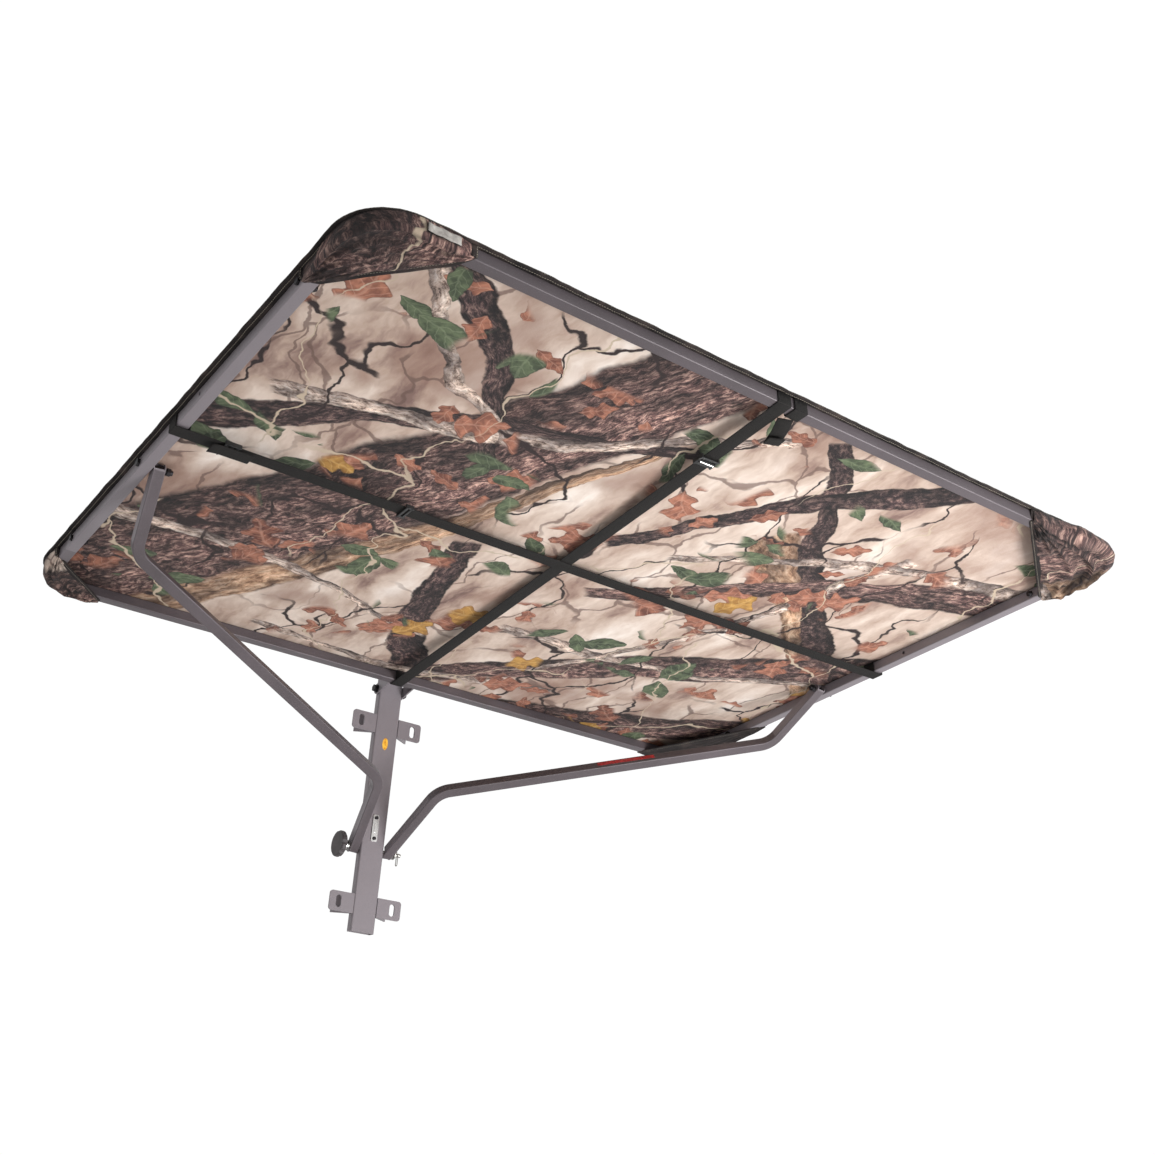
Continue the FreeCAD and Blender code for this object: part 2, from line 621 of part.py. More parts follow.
# ---------------------------------------------------------------- cover
def cover_surface():
    """Face that lies on the rails and sags smoothly to its middle."""
    half_x = HALF_WIDTH - TUBE
    half_y = ROOF_DEPTH / 2 - TUBE
    middle_y = (REAR + FRONT) / 2
    columns = 24
    rows = 20
    grid = []
    for column in range(columns + 1):
        x = HALF_WIDTH * (2 * column / columns - 1)
        line = []
        for row in range(rows + 1):
            y = middle_y + ROOF_DEPTH / 2 * (2 * row / rows - 1)
            across = max(0.0, 1 - (x / half_x) ** 2)
            along = max(0.0, 1 - ((y - middle_y) / half_y) ** 2)
            line.append(Vector(x, y, RAIL_TOP - COVER_SAG * across ** 2 * along ** 2))
        grid.append(line)
    surface = Part.BSplineSurface()
    surface.interpolate(grid)
    return surface.toShape()


def outline_prism(side_offset, end_offset, low, high):
    """Prism over the frame's outline, grown by the given offsets at its sides and ends."""
    radius = CORNER_RADIUS + (side_offset + end_offset) / 2
    face = rounded_rectangle(HALF_WIDTH + side_offset, REAR - end_offset, FRONT + end_offset,
                             radius, low)
    return face.extrude(Z_AXIS * (high - low))


def cover_panel():
    """Middle panel of the cover, sagging between the rails."""
    sheet = cover_surface().extrude(Z_AXIS * COVER_THICKNESS)
    trim = outline_prism(-COVER_SEAM, -COVER_SEAM, RAIL_BOTTOM, RAIL_TOP + 10)
    return in_place(sheet.common(trim))


def cover_hem():
    """Padded hem all round the cover, overhanging the rails."""
    outside = outline_prism(HEM_OVERHANG_SIDE, HEM_OVERHANG_END, RAIL_TOP,
                            RAIL_TOP + HEM_THICKNESS)
    inside = outline_prism(-COVER_SEAM, -COVER_SEAM, RAIL_TOP - 1, RAIL_TOP + HEM_THICKNESS + 1)
    return in_place(outside.cut(inside))


def pocket_corner(size, side, end):
    """Corner of the frame with the two points where a pocket's opening crosses its outline."""
    along_side, along_end = size
    corner_y = FRONT if end > 0 else REAR
    on_side = Vector(side * HALF_WIDTH, corner_y - end * along_side, 0)
    on_end = Vector(side * (HALF_WIDTH - along_end), corner_y, 0)
    return Vector(side * HALF_WIDTH, corner_y, 0), on_side, on_end


def pocket_wedge(size, side, end, inset=0.0):
    """Prism over the triangle between a frame corner and the pocket's slanting opening."""
    corner, on_side, on_end = pocket_corner(size, side, end)
    edge = (on_end - on_side).normalize()
    outward = corner - (on_side + on_end) * 0.5
    outward.normalize()
    low = Vector(0, 0, RAIL_BOTTOM - 20)
    reach = 40.0
    first = on_side - edge * reach + outward * inset
    second = on_end + edge * reach + outward * inset
    far = outward * 300.0
    outline = Part.makePolygon([first + low, second + low, second + far + low,
                                first + far + low, first + low])
    return Part.Face(outline).extrude(Z_AXIS * 60)


def corner_pocket(size, side, end):
    """Cloth pocket round one bent corner: an outer wall and a floor under the tube."""
    wall = POCKET_GAP + POCKET_CLOTH
    floor = RAIL_BOTTOM - wall
    bag = outline_prism(wall, wall, floor, RAIL_TOP)
    hollow = outline_prism(POCKET_GAP, POCKET_GAP, RAIL_BOTTOM - POCKET_GAP, RAIL_TOP + 1)
    return in_place(bag.cut(hollow).common(pocket_wedge(size, side, end, 5.0)))


def pocket_bindings():
    """Dark bound edges of the four pocket openings."""
    wall = POCKET_GAP + POCKET_CLOTH
    floor = RAIL_BOTTOM - wall
    shell = outline_prism(wall, wall, floor, RAIL_TOP).cut(
        outline_prism(POCKET_GAP, POCKET_GAP, RAIL_BOTTOM - POCKET_GAP, RAIL_TOP + 1))
    strips = []
    for side in (1, -1):
        for end, size in ((1, FRONT_POCKET), (-1, REAR_POCKET)):
            strip = shell.common(pocket_wedge(size, side, end))
            strips.append(strip.cut(pocket_wedge(size, side, end, 5.0)))
    return in_place(Part.makeCompound(strips))


def blank_tag():
    """Plain patch sewn to the front of the left front pocket."""
    face = FRONT + POCKET_GAP + POCKET_CLOTH
    return in_place(box((HALF_WIDTH - 125.0, face, RAIL_BOTTOM + 3.0),
                        (HALF_WIDTH - 78.0, face + 0.8, RAIL_TOP - 3.0)))


# ---------------------------------------------------------------- straps
def hook(width, face, inward, drop, gap=STRAP_GAP):
    """End of a strap folded round a rail: its lower face, outer face and inner face."""
    low = RAIL_BOTTOM - drop
    outer = face - inward * (gap + STRAP_THICKNESS)
    near = face - inward * gap
    far = face + inward * (TUBE + gap)
    inner = far + inward * STRAP_THICKNESS
    top = RAIL_TOP - 1.0
    lower = box((-width / 2, min(outer, inner), low),
                (width / 2, max(outer, inner), low + STRAP_THICKNESS))
    outside = box((-width / 2, min(outer, near), low), (width / 2, max(outer, near), top))
    inside = box((-width / 2, min(far, inner), low), (width / 2, max(far, inner), top))
    return lower.fuse(outside).fuse(inside)


def strap(first_face, second_face, drop, gap=STRAP_GAP):
    """Webbing along Y between two rails, hooked round both."""
    low = RAIL_BOTTOM - drop
    reach = TUBE + gap + STRAP_THICKNESS
    run = box((-STRAP_WIDTH / 2, first_face + reach, low),
              (STRAP_WIDTH / 2, second_face - reach, low + STRAP_THICKNESS))
    return Part.makeCompound([run, hook(STRAP_WIDTH, first_face, 1, drop, gap),
                              hook(STRAP_WIDTH, second_face, -1, drop, gap)])


def skew_long_strap(shape):
    """Swing the front-to-back strap so that its front end stands further out than its rear."""
    offset = LONG_STRAP_FRONT_X - LONG_STRAP_REAR_X
    middle = Vector(0, (REAR + FRONT) / 2, 0)
    shape.rotate(middle, Z_AXIS, -math.degrees(math.atan2(offset, ROOF_DEPTH)))
    shape.translate(X_AXIS * ((LONG_STRAP_FRONT_X + LONG_STRAP_REAR_X) / 2))
    return shape


def long_strap_drop():
    """How far below the rails the front-to-back strap runs."""
    return STRAP_GAP + STRAP_THICKNESS


def cross_strap_drop():
    """How far below the rails the cross strap runs, clear of the other strap."""
    return long_strap_drop() + STRAP_GAP + STRAP_THICKNESS


def long_strap():
    """Strap from the rear rail to the front rail."""
    shape = strap(REAR, FRONT, long_strap_drop(), SKEWED_STRAP_GAP)
    return in_place(skew_long_strap(shape))


def long_strap_wrap():
    """Second turn of the front-to-back strap's free end round the front rail."""
    wrap = hook(26.0, FRONT, -1, long_strap_drop())
    wrap.translate(X_AXIS * (LONG_STRAP_FRONT_X - 32.0))
    return in_place(wrap)


def turn_across(shape):
    """Turn a strap drawn along Y so that it runs along X at the cross strap's station."""
    shape.rotate(Vector(0, 0, 0), Z_AXIS, -90)
    shape.translate(Y_AXIS * CROSS_STRAP_Y)
    return shape


def cross_strap():
    """Strap from one side rail to the other, below the front-to-back strap."""
    return in_place(turn_across(strap(-HALF_WIDTH, HALF_WIDTH, cross_strap_drop())))


def slider(length, drop):
    """Flat sleeve round a strap at Y = 0, with room for the strap to run through it."""
    room = 0.4
    low = RAIL_BOTTOM - drop
    outside = box((-STRAP_WIDTH / 2 - 4.0, -length / 2, low - 3.0),
                  (STRAP_WIDTH / 2 + 4.0, length / 2, low + STRAP_THICKNESS + 2.4))
    edges = [edge for edge in outside.Edges if abs(edge.tangentAt(0).z) > 0.9]
    outside = outside.makeFillet(2.5, edges)
    window = box((-STRAP_WIDTH / 2 - room, -length, low - room),
                 (STRAP_WIDTH / 2 + room, length, low + STRAP_THICKNESS + room))
    return outside.cut(window)


def on_long_strap(shape, station):
    """Carry a shape drawn at Y = 0 to a station along the front-to-back strap."""
    shape.translate(Y_AXIS * (REAR + station))
    return in_place(skew_long_strap(shape))


def on_cross_strap(shape, x):
    """Carry a shape drawn at Y = 0 to a place along the cross strap."""
    shape.translate(Y_AXIS * x)
    return in_place(turn_across(shape))


def long_buckle():
    """Ladder-lock buckle of the front-to-back strap."""
    return on_long_strap(slider(22.0, long_strap_drop()), 975.0)


def long_buckle_bar():
    """Bright bar under the ladder-lock buckle."""
    low = RAIL_BOTTOM - long_strap_drop() - 3.0
    bar = rod(2.6, Vector(-STRAP_WIDTH / 2, 0, low - 1.3), Vector(STRAP_WIDTH / 2, 0, low - 1.3))
    return on_long_strap(bar, 975.0)


def cross_buckle():
    """Buckle of the cross strap near the +X rail."""
    return on_cross_strap(slider(26.0, cross_strap_drop()), 640.0)


def cross_slider():
    """Plain slider of the cross strap, half way out."""
    return on_cross_strap(slider(14.0, cross_strap_drop()), 341.0)


def strap_tail():
    """Folded free end of the cross strap, held flat under its buckle."""
    low = RAIL_BOTTOM - cross_strap_drop() - 3.0
    lower = box((-STRAP_WIDTH / 2, -34.0, low - 3.0), (STRAP_WIDTH / 2, 30.0, low - 1.5))
    upper = box((-STRAP_WIDTH / 2, -34.0, low - 1.5), (STRAP_WIDTH / 2, -14.0, low))
    return on_cross_strap(lower.fuse(upper), 640.0)


# ---------------------------------------------------------------- export
PARTS = {
    "post_tube": post_tube,
    "upper_tree_bracket": lambda: tree_bracket(UPPER_BRACKET_Z),
    "lower_tree_bracket": lambda: tree_bracket(LOWER_BRACKET_Z),
    "level_plate": level_plate,
    "level_screws": level_screws,
    "post_sticker": post_sticker,
    "knob": knob,
    "knob_hub": knob_hub,
    "stud": stud,
    "stud_washers": stud_washers,
    "spring_pin": spring_pin,
    "hinge_bracket": hinge_bracket,
    "hinge_bolt": hinge_bolt,
    "hinge_nut": hinge_nut,
    "rear_rail": lambda: end_rail(REAR, 1),
    "front_rail": lambda: end_rail(FRONT, -1),
    "left_rail": lambda: side_rail(1),
    "right_rail": lambda: side_rail(-1),
    "frame_bolts": frame_bolts,
    "frame_nuts": frame_nuts,
    "left_brace": brace,
    "right_brace": lambda: mirrored(brace()),
    "brace_label": brace_label,
    "brace_bolts": brace_bolts,
    "brace_nuts": brace_nuts,
    "cover_panel": cover_panel,
    "cover_hem": cover_hem,
    "front_left_pocket": lambda: corner_pocket(FRONT_POCKET, 1, 1),
    "front_right_pocket": lambda: corner_pocket(FRONT_POCKET, -1, 1),
    "rear_left_pocket": lambda: corner_pocket(REAR_POCKET, 1, -1),
    "rear_right_pocket": lambda: corner_pocket(REAR_POCKET, -1, -1),
    "pocket_bindings": pocket_bindings,
    "blank_tag": blank_tag,
    "long_strap": long_strap,
    "long_strap_wrap": long_strap_wrap,
    "long_buckle": long_buckle,
    "long_buckle_bar": long_buckle_bar,
    "cross_strap": cross_strap,
    "cross_buckle": cross_buckle,
    "cross_slider": cross_slider,
    "strap_tail": strap_tail,
}


def export_parts():
    """Write one STEP file for every sub-part."""
    os.makedirs("parts", exist_ok=True)
    for node, make in PARTS.items():
        shape = make()
        shape.exportStep("parts/" + node + ".step")
        print(node, "solids", len(shape.Solids), "valid", shape.isValid(),
              "volume", round(shape.Volume / 1000, 2))


export_parts()
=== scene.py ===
import json
import math

import bmesh
import bpy
import numpy as np
from mathutils import Matrix, Vector, noise


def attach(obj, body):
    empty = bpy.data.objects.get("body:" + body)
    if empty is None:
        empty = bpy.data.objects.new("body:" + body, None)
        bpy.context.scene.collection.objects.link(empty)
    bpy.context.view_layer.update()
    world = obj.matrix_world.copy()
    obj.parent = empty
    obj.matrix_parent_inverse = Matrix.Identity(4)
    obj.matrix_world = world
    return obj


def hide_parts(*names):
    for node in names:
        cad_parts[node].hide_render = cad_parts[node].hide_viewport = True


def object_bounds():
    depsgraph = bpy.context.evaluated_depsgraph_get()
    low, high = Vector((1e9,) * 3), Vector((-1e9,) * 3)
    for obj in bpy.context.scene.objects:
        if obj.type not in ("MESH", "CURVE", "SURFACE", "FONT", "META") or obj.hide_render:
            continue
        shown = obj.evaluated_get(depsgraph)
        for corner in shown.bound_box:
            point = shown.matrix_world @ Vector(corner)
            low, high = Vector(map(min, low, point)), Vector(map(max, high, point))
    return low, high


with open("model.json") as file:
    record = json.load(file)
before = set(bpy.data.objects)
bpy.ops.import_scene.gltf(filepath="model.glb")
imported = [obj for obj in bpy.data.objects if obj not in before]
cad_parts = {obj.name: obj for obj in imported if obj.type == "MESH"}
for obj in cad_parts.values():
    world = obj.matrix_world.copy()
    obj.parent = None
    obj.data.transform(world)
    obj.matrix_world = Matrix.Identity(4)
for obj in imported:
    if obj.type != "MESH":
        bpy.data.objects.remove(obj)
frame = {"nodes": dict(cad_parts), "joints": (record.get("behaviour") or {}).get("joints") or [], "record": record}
CAD_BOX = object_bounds()
JOINTS = {joint["name"]: joint for joint in frame["joints"]}

# ---------------------------------------------------------------- the roof's own frame
# Origin on the hinge axis, Y along the roof, Z square to it.  The long strap's slide gives the pitch.
STRAP_LINE = Vector(JOINTS["long_adjuster_slide"]["axis"])
PITCH = math.atan2(STRAP_LINE.z, STRAP_LINE.y)
SKEW = math.asin(STRAP_LINE.x)
ROOF = Matrix.Translation(JOINTS["roof_fold"]["pos_m"]) @ Matrix.Rotation(PITCH, 4, "X")


def roof_box(node):
    """Lowest and highest corner of a CAD node, measured in the roof frame."""
    inverse = ROOF.inverted()
    corners = np.array([inverse @ vertex.co for vertex in frame["nodes"][node].data.vertices])
    return Vector(corners.min(0)), Vector(corners.max(0))


FRONT_LOW, FRONT_HIGH = roof_box("front_rail")
HALF_WIDTH = FRONT_HIGH.x
REAR = roof_box("rear_rail")[0].y
FRONT = FRONT_HIGH.y
RAIL_BOTTOM = FRONT_LOW.z
RAIL_TOP = FRONT_HIGH.z
TUBE = RAIL_TOP - RAIL_BOTTOM
CORNER_RADIUS = 0.072
MIDDLE_Y = (REAR + FRONT) / 2
MM = 0.001

SHEET_THICKNESS = 0.9 * MM
SAG = 12 * MM
WEBBING_WIDTH = 25 * MM
WEBBING_THICKNESS = 1.5 * MM
WEBBING_STANDOFF = 0.9 * MM + WEBBING_THICKNESS / 2  # a rail's face to the middle of webbing on it
WEBBING_TOP = RAIL_TOP - 1 * MM  # where turned-up webbing ends
UP = Vector((0, 0, 1))


# ---------------------------------------------------------------- mesh helpers
def add_object(name, mesh, body, slot, material, replaced=()):
    """Put a mesh drawn in the roof frame in the scene, smooth it and hand it to its body."""
    piece = bpy.data.objects.new(name, mesh)
    bpy.context.scene.collection.objects.link(piece)
    mesh.transform(ROOF)
    mesh.materials.append(material)
    for polygon in mesh.polygons:
        polygon.use_smooth = True
    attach(piece, body)
    if replaced:
        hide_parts(*replaced)
    return piece


def grid_mesh(name, rows, closed_across=False, uv=None):
    """Mesh of quads through a table of points, with a UV map named cloth in metres."""
    count = len(rows)
    width = len(rows[0])
    vertices = [point for row in rows for point in row]
    last = width if closed_across else width - 1
    faces = []
    for i in range(count - 1):
        for j in range(last):
            following = (j + 1) % width
            faces.append((i * width + j, i * width + following,
                          (i + 1) * width + following, (i + 1) * width + j))
    mesh = bpy.data.meshes.new(name)
    mesh.from_pydata(vertices, [], faces)
    layer = mesh.uv_layers.new(name="cloth")
    for loop in mesh.loops:
        place = loop.vertex_index
        if uv is None:
            point = mesh.vertices[place].co
            layer.data[loop.index].uv = (point.x, point.y)
        else:
            layer.data[loop.index].uv = uv[place // width][place % width]
    mesh.validate()
    return mesh


def thicken(piece, thickness):
    """Give a sheet its real thickness, half on each side of it."""
    solid = piece.modifiers.new("thickness", "SOLIDIFY")
    solid.thickness = thickness
    solid.offset = 0.0
    return piece


def sweep(name, path, sides, normals, profile):
    """Sweep a profile of (across, out) offsets along a path and close both ends.

    sides and normals hold the profile's two axes at each point of the path.
    """
    rows = []
    uv = []
    travelled = 0.0
    for index, point in enumerate(path):
        if index:
            travelled += (point - path[index - 1]).length
        rows.append([point + sides[index] * across + normals[index] * out for across, out in profile])
        around = 0.0
        marks = []
        for number, (across, out) in enumerate(profile):
            if number:
                before = profile[number - 1]
                around += math.hypot(across - before[0], out - before[1])
            marks.append((around, travelled))
        uv.append(marks)
    mesh = grid_mesh(name, rows, closed_across=True, uv=uv)
    built = bmesh.new()
    built.from_mesh(mesh)
    bmesh.ops.holes_fill(built, edges=[edge for edge in built.edges if edge.is_boundary], sides=0)
    built.to_mesh(mesh)
    built.free()
    return mesh


def rounded_profile(width, thickness):
    """Outline of a flat band with rounded edges, as (across, out) offsets."""
    half = width / 2 - thickness / 2
    points = []
    for centre, first in ((half, -90), (-half, 90)):
        for step in range(5):
            angle = math.radians(first + 45 * step)
            points.append((centre + thickness / 2 * math.cos(angle),
                           thickness / 2 * math.sin(angle)))
    return points


def rounded_path(corners, radius, spacing):
    """Points every spacing along a polyline whose corners are rounded off."""
    corner_steps = 6
    points = []
    start = Vector(corners[0])
    for before, corner, after in zip(corners, corners[1:], corners[2:]):
        corner = Vector(corner)
        incoming = (Vector(before) - corner).normalized()
        outgoing = (Vector(after) - corner).normalized()
        first = corner + incoming * radius
        last = corner + outgoing * radius
        points += spaced(start, first, spacing)
        for step in range(corner_steps):
            share = step / corner_steps
            points.append(first.lerp(corner, share).lerp(corner.lerp(last, share), share))
        start = last
    points += spaced(start, Vector(corners[-1]), spacing)
    points.append(Vector(corners[-1]))
    return points


def spaced(start, end, spacing):
    """Evenly spaced points from start up to, but not including, end."""
    count = max(1, round((end - start).length / spacing))
    return [start.lerp(end, step / count) for step in range(count)]


def direction(path, index):
    """Unit direction of a path at one of its points."""
    before = path[max(index - 1, 0)]
    after = path[min(index + 1, len(path) - 1)]
    return (after - before).normalized()


def outline(grow, spacing):
    """Points round the frame's outline and their outward directions, as one closed list."""
    corner_steps = 12
    radius = CORNER_RADIUS + grow
    half_x = HALF_WIDTH + grow - radius
    low_y = REAR - grow + radius
    high_y = FRONT + grow - radius
    centres = [(half_x, high_y), (-half_x, high_y), (-half_x, low_y), (half_x, low_y)]
    points = []
    for index, (x, y) in enumerate(centres):
        for step in range(corner_steps + 1):
            angle = math.radians(90 * index + 90 / corner_steps * step)
            out = Vector((math.cos(angle), math.sin(angle), 0))
            points.append((Vector((x, y, 0)) + out * radius, out))
        after = centres[(index + 1) % 4]
        straight_end = Vector((after[0], after[1], 0)) + out * radius
        run = spaced(points[-1][0], straight_end, spacing)[1:]
        points += [(point, out) for point in run]
    return points


# ---------------------------------------------------------------- shader helper
class Shader:
    """Writes a node tree as a chain of plain calls.

    Values are sockets or plain numbers, vectors and colours; each call returns the socket it made.
    """

    def __init__(self, name):
        self.material = bpy.data.materials.new(name)
        self.material.use_nodes = True
        self.tree = self.material.node_tree
        self.surface = self.tree.nodes["Principled BSDF"]

    def node(self, kind, **settings):
        made = self.tree.nodes.new("ShaderNode" + kind)
        for key, value in settings.items():
            setattr(made, key, value)
        return made

    def feed(self, socket, value):
        if isinstance(value, bpy.types.NodeSocket):
            self.tree.links.new(value, socket)
        else:
            socket.default_value = value

    def math(self, operation, *values):
        made = self.node("Math", operation=operation)
        for socket, value in zip(made.inputs, values):
            self.feed(socket, value)
        return made.outputs[0]

    def vector(self, operation, *values):
        made = self.node("VectorMath", operation=operation)
        for socket, value in zip(made.inputs, values):
            self.feed(socket, value)
        return made.outputs["Value" if operation == "DOT_PRODUCT" else "Vector"]

    def scaled(self, vector, factors):
        return self.vector("MULTIPLY", vector, factors)

    def split(self, vector):
        made = self.node("SeparateXYZ")
        self.feed(made.inputs[0], vector)
        return made.outputs[0], made.outputs[1], made.outputs[2]

    def join(self, x, y, z=0.0):
        made = self.node("CombineXYZ")
        for socket, value in zip(made.inputs, (x, y, z)):
            self.feed(socket, value)
        return made.outputs[0]

    def smooth(self, value, low, high):
        made = self.node("MapRange", interpolation_type="SMOOTHSTEP")
        self.feed(made.inputs["Value"], value)
        made.inputs["From Min"].default_value = low
        made.inputs["From Max"].default_value = high
        return made.outputs["Result"]

    def mix(self, share, first, second, blend="MIX"):
        made = self.node("Mix", data_type="RGBA", blend_type=blend)
        self.feed(made.inputs[0], share)
        self.feed(made.inputs[6], first)
        self.feed(made.inputs[7], second)
        return made.outputs[2]

    def ramp(self, value, stops):
        made = self.node("ValToRGB")
        ramp = made.color_ramp
        while len(ramp.elements) < len(stops):
            ramp.elements.new(1.0)
        for element, (place, colour) in zip(ramp.elements, stops):
            element.position = place
            element.color = colour
        self.feed(made.inputs[0], value)
        return made.outputs[0]

    def noise(self, vector, scale, detail=4.0, roughness=0.55):
        made = self.node("TexNoise")
        self.feed(made.inputs["Vector"], vector)
        made.inputs["Scale"].default_value = scale
        made.inputs["Detail"].default_value = detail
        made.inputs["Roughness"].default_value = roughness
        return made.outputs["Fac"]

    def noise_vector(self, vector, scale, amount):
        made = self.node("TexNoise")
        self.feed(made.inputs["Vector"], vector)
        made.inputs["Scale"].default_value = scale
        made.inputs["Detail"].default_value = 3.0
        centred = self.vector("SUBTRACT", made.outputs["Color"], (0.5, 0.5, 0.5))
        return self.scaled(centred, (amount, amount, 0.0))

    def place(self):
        return self.node("TexCoord").outputs["Object"]

    def cloth(self):
        return self.node("UVMap", uv_map="cloth").outputs[0]

    def bump(self, height, distance):
        made = self.node("Bump")
        made.inputs["Distance"].default_value = distance
        self.feed(made.inputs["Height"], height)
        self.tree.links.new(made.outputs[0], self.surface.inputs["Normal"])

    def finish(self, colour, roughness, **sockets):
        self.feed(self.surface.inputs["Base Color"], colour)
        self.feed(self.surface.inputs["Roughness"], roughness)
        for name, value in sockets.items():
            self.surface.inputs[name.replace("_", " ")].default_value = value
        return self.material


def linear(value):
    """Light intensity, 0 to 1, of an ordinary 0-255 screen value."""
    value /= 255
    return value / 12.92 if value <= 0.04045 else ((value + 0.055) / 1.055) ** 2.4


def rgb(red, green, blue):
    """Colour from ordinary 0-255 screen values."""
    return (linear(red), linear(green), linear(blue), 1.0)


# ---------------------------------------------------------------- hard materials
def powder_coat():
    """Grey-mauve textured paint, with a painted highlight lightening its rounded edges."""
    s = Shader("powder_coat")
    place = s.place()
    cloudy = s.noise(place, 9.0, 3.0)
    grain = s.noise(place, 900.0, 2.0)
    # Painted highlight: the colour is lightened towards rgb(150, 143, 148) along rounded edges, where the surface
    # is pointy.
    edge_highlight = s.smooth(s.node("NewGeometry").outputs["Pointiness"], 0.52, 0.60)
    colour = s.ramp(cloudy, [(0.3, rgb(76, 69, 72)), (0.7, rgb(87, 79, 83))])
    colour = s.mix(s.math("MULTIPLY", edge_highlight, 0.5), colour, rgb(150, 143, 148))
    colour = s.mix(s.smooth(grain, 0.62, 0.7), colour, rgb(106, 99, 103))
    s.bump(grain, 0.00012)
    rough = s.math("MULTIPLY_ADD", cloudy, 0.16, 0.36)
    return s.finish(colour, rough, Metallic=0.25)


def metal(name, dark, light, scratch, roughness):
    """Bare or plated steel with fine scratches."""
    s = Shader(name)
    place = s.place()
    stretched = s.scaled(place, (1.0, 1.0, 0.06))
    scratches = s.noise(stretched, 1400.0, 3.0)
    blotches = s.noise(place, 14.0, 2.0)
    colour = s.ramp(blotches, [(0.3, dark), (0.7, light)])
    colour = s.mix(s.math("MULTIPLY", s.smooth(scratches, 0.5, 0.8), scratch), colour, light)
    s.bump(scratches, 0.00003)
    rough = s.math("MULTIPLY_ADD", scratches, 0.2, roughness)
    return s.finish(colour, rough, Metallic=1.0)


def moulded_plastic(name, dark, light, grain_scale, roughness):
    """Moulded plastic with a fine leather-like grain."""
    s = Shader(name)
    place = s.place()
    grain = s.noise(place, grain_scale, 5.0)
    colour = s.ramp(s.noise(place, 40.0), [(0.3, dark), (0.75, light)])
    s.bump(grain, 0.00015)
    rough = s.math("MULTIPLY_ADD", grain, 0.25, roughness)
    return s.finish(colour, rough)


def vinyl_label(name, edge, middle):
    """Glossy blank label with a mottled print."""
    s = Shader(name)
    place = s.place()
    mottled = s.noise(place, 260.0, 3.0)
    colour = s.ramp(mottled, [(0.35, edge), (0.62, middle)])
    s.bump(mottled, 0.00005)
    return s.finish(colour, s.math("MULTIPLY_ADD", mottled, 0.2, 0.25))


# ---------------------------------------------------------------- cloth materials
def weave(s, cloth, threads):
    """Height of a plain weave with that many threads per metre."""
    x, y, _ = s.split(cloth)
    warp = s.math("SINE", s.math("MULTIPLY", x, threads * math.tau))
    weft = s.math("SINE", s.math("MULTIPLY", y, threads * math.tau))
    return s.math("MULTIPLY", warp, weft)


def webbing():
    """Black nylon webbing: ribs across it, cords along it and a little fuzz."""
    s = Shader("webbing")
    cloth = s.cloth()
    across, along, _ = s.split(cloth)
    ribs_per_metre = 520
    cords_per_metre = 700
    ribs = s.math("SINE", s.math("MULTIPLY", along, ribs_per_metre * math.tau))
    cords = s.math("SINE", s.math("MULTIPLY", across, cords_per_metre * math.tau))
    height = s.math("ADD", ribs, s.math("MULTIPLY", cords, 0.5))
    tone = s.math("MULTIPLY_ADD", height, 0.22, s.noise(s.place(), 500.0))
    colour = s.ramp(tone, [(0.25, rgb(11, 10, 10)), (0.9, rgb(42, 39, 37))])
    s.bump(height, 0.0003)
    return s.finish(colour, s.math("MULTIPLY_ADD", tone, 0.15, 0.70), Specular_IOR_Level=0.25)


def hem_cloth():
    """Dark bound edge with a row of paler stitches along it."""
    s = Shader("hem_cloth")
    cloth = s.cloth()
    around, along, _ = s.split(cloth)
    threads = weave(s, cloth, 900)
    fold = s.noise(s.place(), 28.0, 5.0)
    stitches_per_metre = 250.0
    seam_place = 0.004
    dash = s.math("FRACT", s.math("MULTIPLY", along, stitches_per_metre))
    on_dash = s.smooth(dash, 0.30, 0.38)
    seam = s.math("ABSOLUTE", s.math("SUBTRACT", around, seam_place))
    stitch = s.math("MULTIPLY", on_dash, s.smooth(seam, 0.0007, 0.0003))
    colour = s.ramp(fold, [(0.3, rgb(20, 17, 17)), (0.55, rgb(44, 38, 37)), (0.75, rgb(74, 62, 58))])
    colour = s.mix(stitch, colour, rgb(150, 142, 128))
    height = s.math("ADD", s.math("MULTIPLY", threads, 0.3), s.math("MULTIPLY", fold, 3.0))
    s.bump(s.math("ADD", height, stitch), 0.0005)
    return s.finish(colour, s.math("MULTIPLY_ADD", fold, 0.2, 0.72), Specular_IOR_Level=0.25)


def patch_cloth():
    """Pale blank woven patch."""
    s = Shader("patch_cloth")
    cloth = s.cloth()
    threads = weave(s, cloth, 1200)
    colour = s.ramp(s.noise(s.place(), 120.0), [(0.3, rgb(150, 144, 138)), (0.7, rgb(206, 201, 194))])
    s.bump(threads, 0.0002)
    return s.finish(colour, s.math("MULTIPLY_ADD", threads, 0.05, 0.7))


def branch(s, place, start, end, widths, bow):
    """Bowed, tapering band from start to end: its mask, how far across (-1 to 1) and how far along."""
    run = Vector((end[0] - start[0], end[1] - start[1], 0))
    direction = run.normalized()
    square = Vector((-direction.y, direction.x, 0))
    offset = s.vector("SUBTRACT", place, (start[0], start[1], 0))
    along = s.vector("DOT_PRODUCT", offset, tuple(direction))
    side = s.vector("DOT_PRODUCT", offset, tuple(square))
    share = s.smooth(along, 0.0, run.length)
    hump = s.math("MULTIPLY", share, s.math("SUBTRACT", 1.0, share))
    side = s.math("SUBTRACT", side, s.math("MULTIPLY", hump, 4 * bow))
    width = s.math("MULTIPLY_ADD", share, widths[1] - widths[0], widths[0])
    across = s.math("DIVIDE", side, width)
    inside = s.smooth(s.math("SUBTRACT", 1.0, s.math("ABSOLUTE", across)), 0.0, 0.14)
    soft_end = 0.012
    begun = s.smooth(along, 0.0, soft_end)
    ended = s.smooth(along, run.length, run.length - soft_end)
    return s.math("MULTIPLY", inside, s.math("MULTIPLY", begun, ended)), across, along


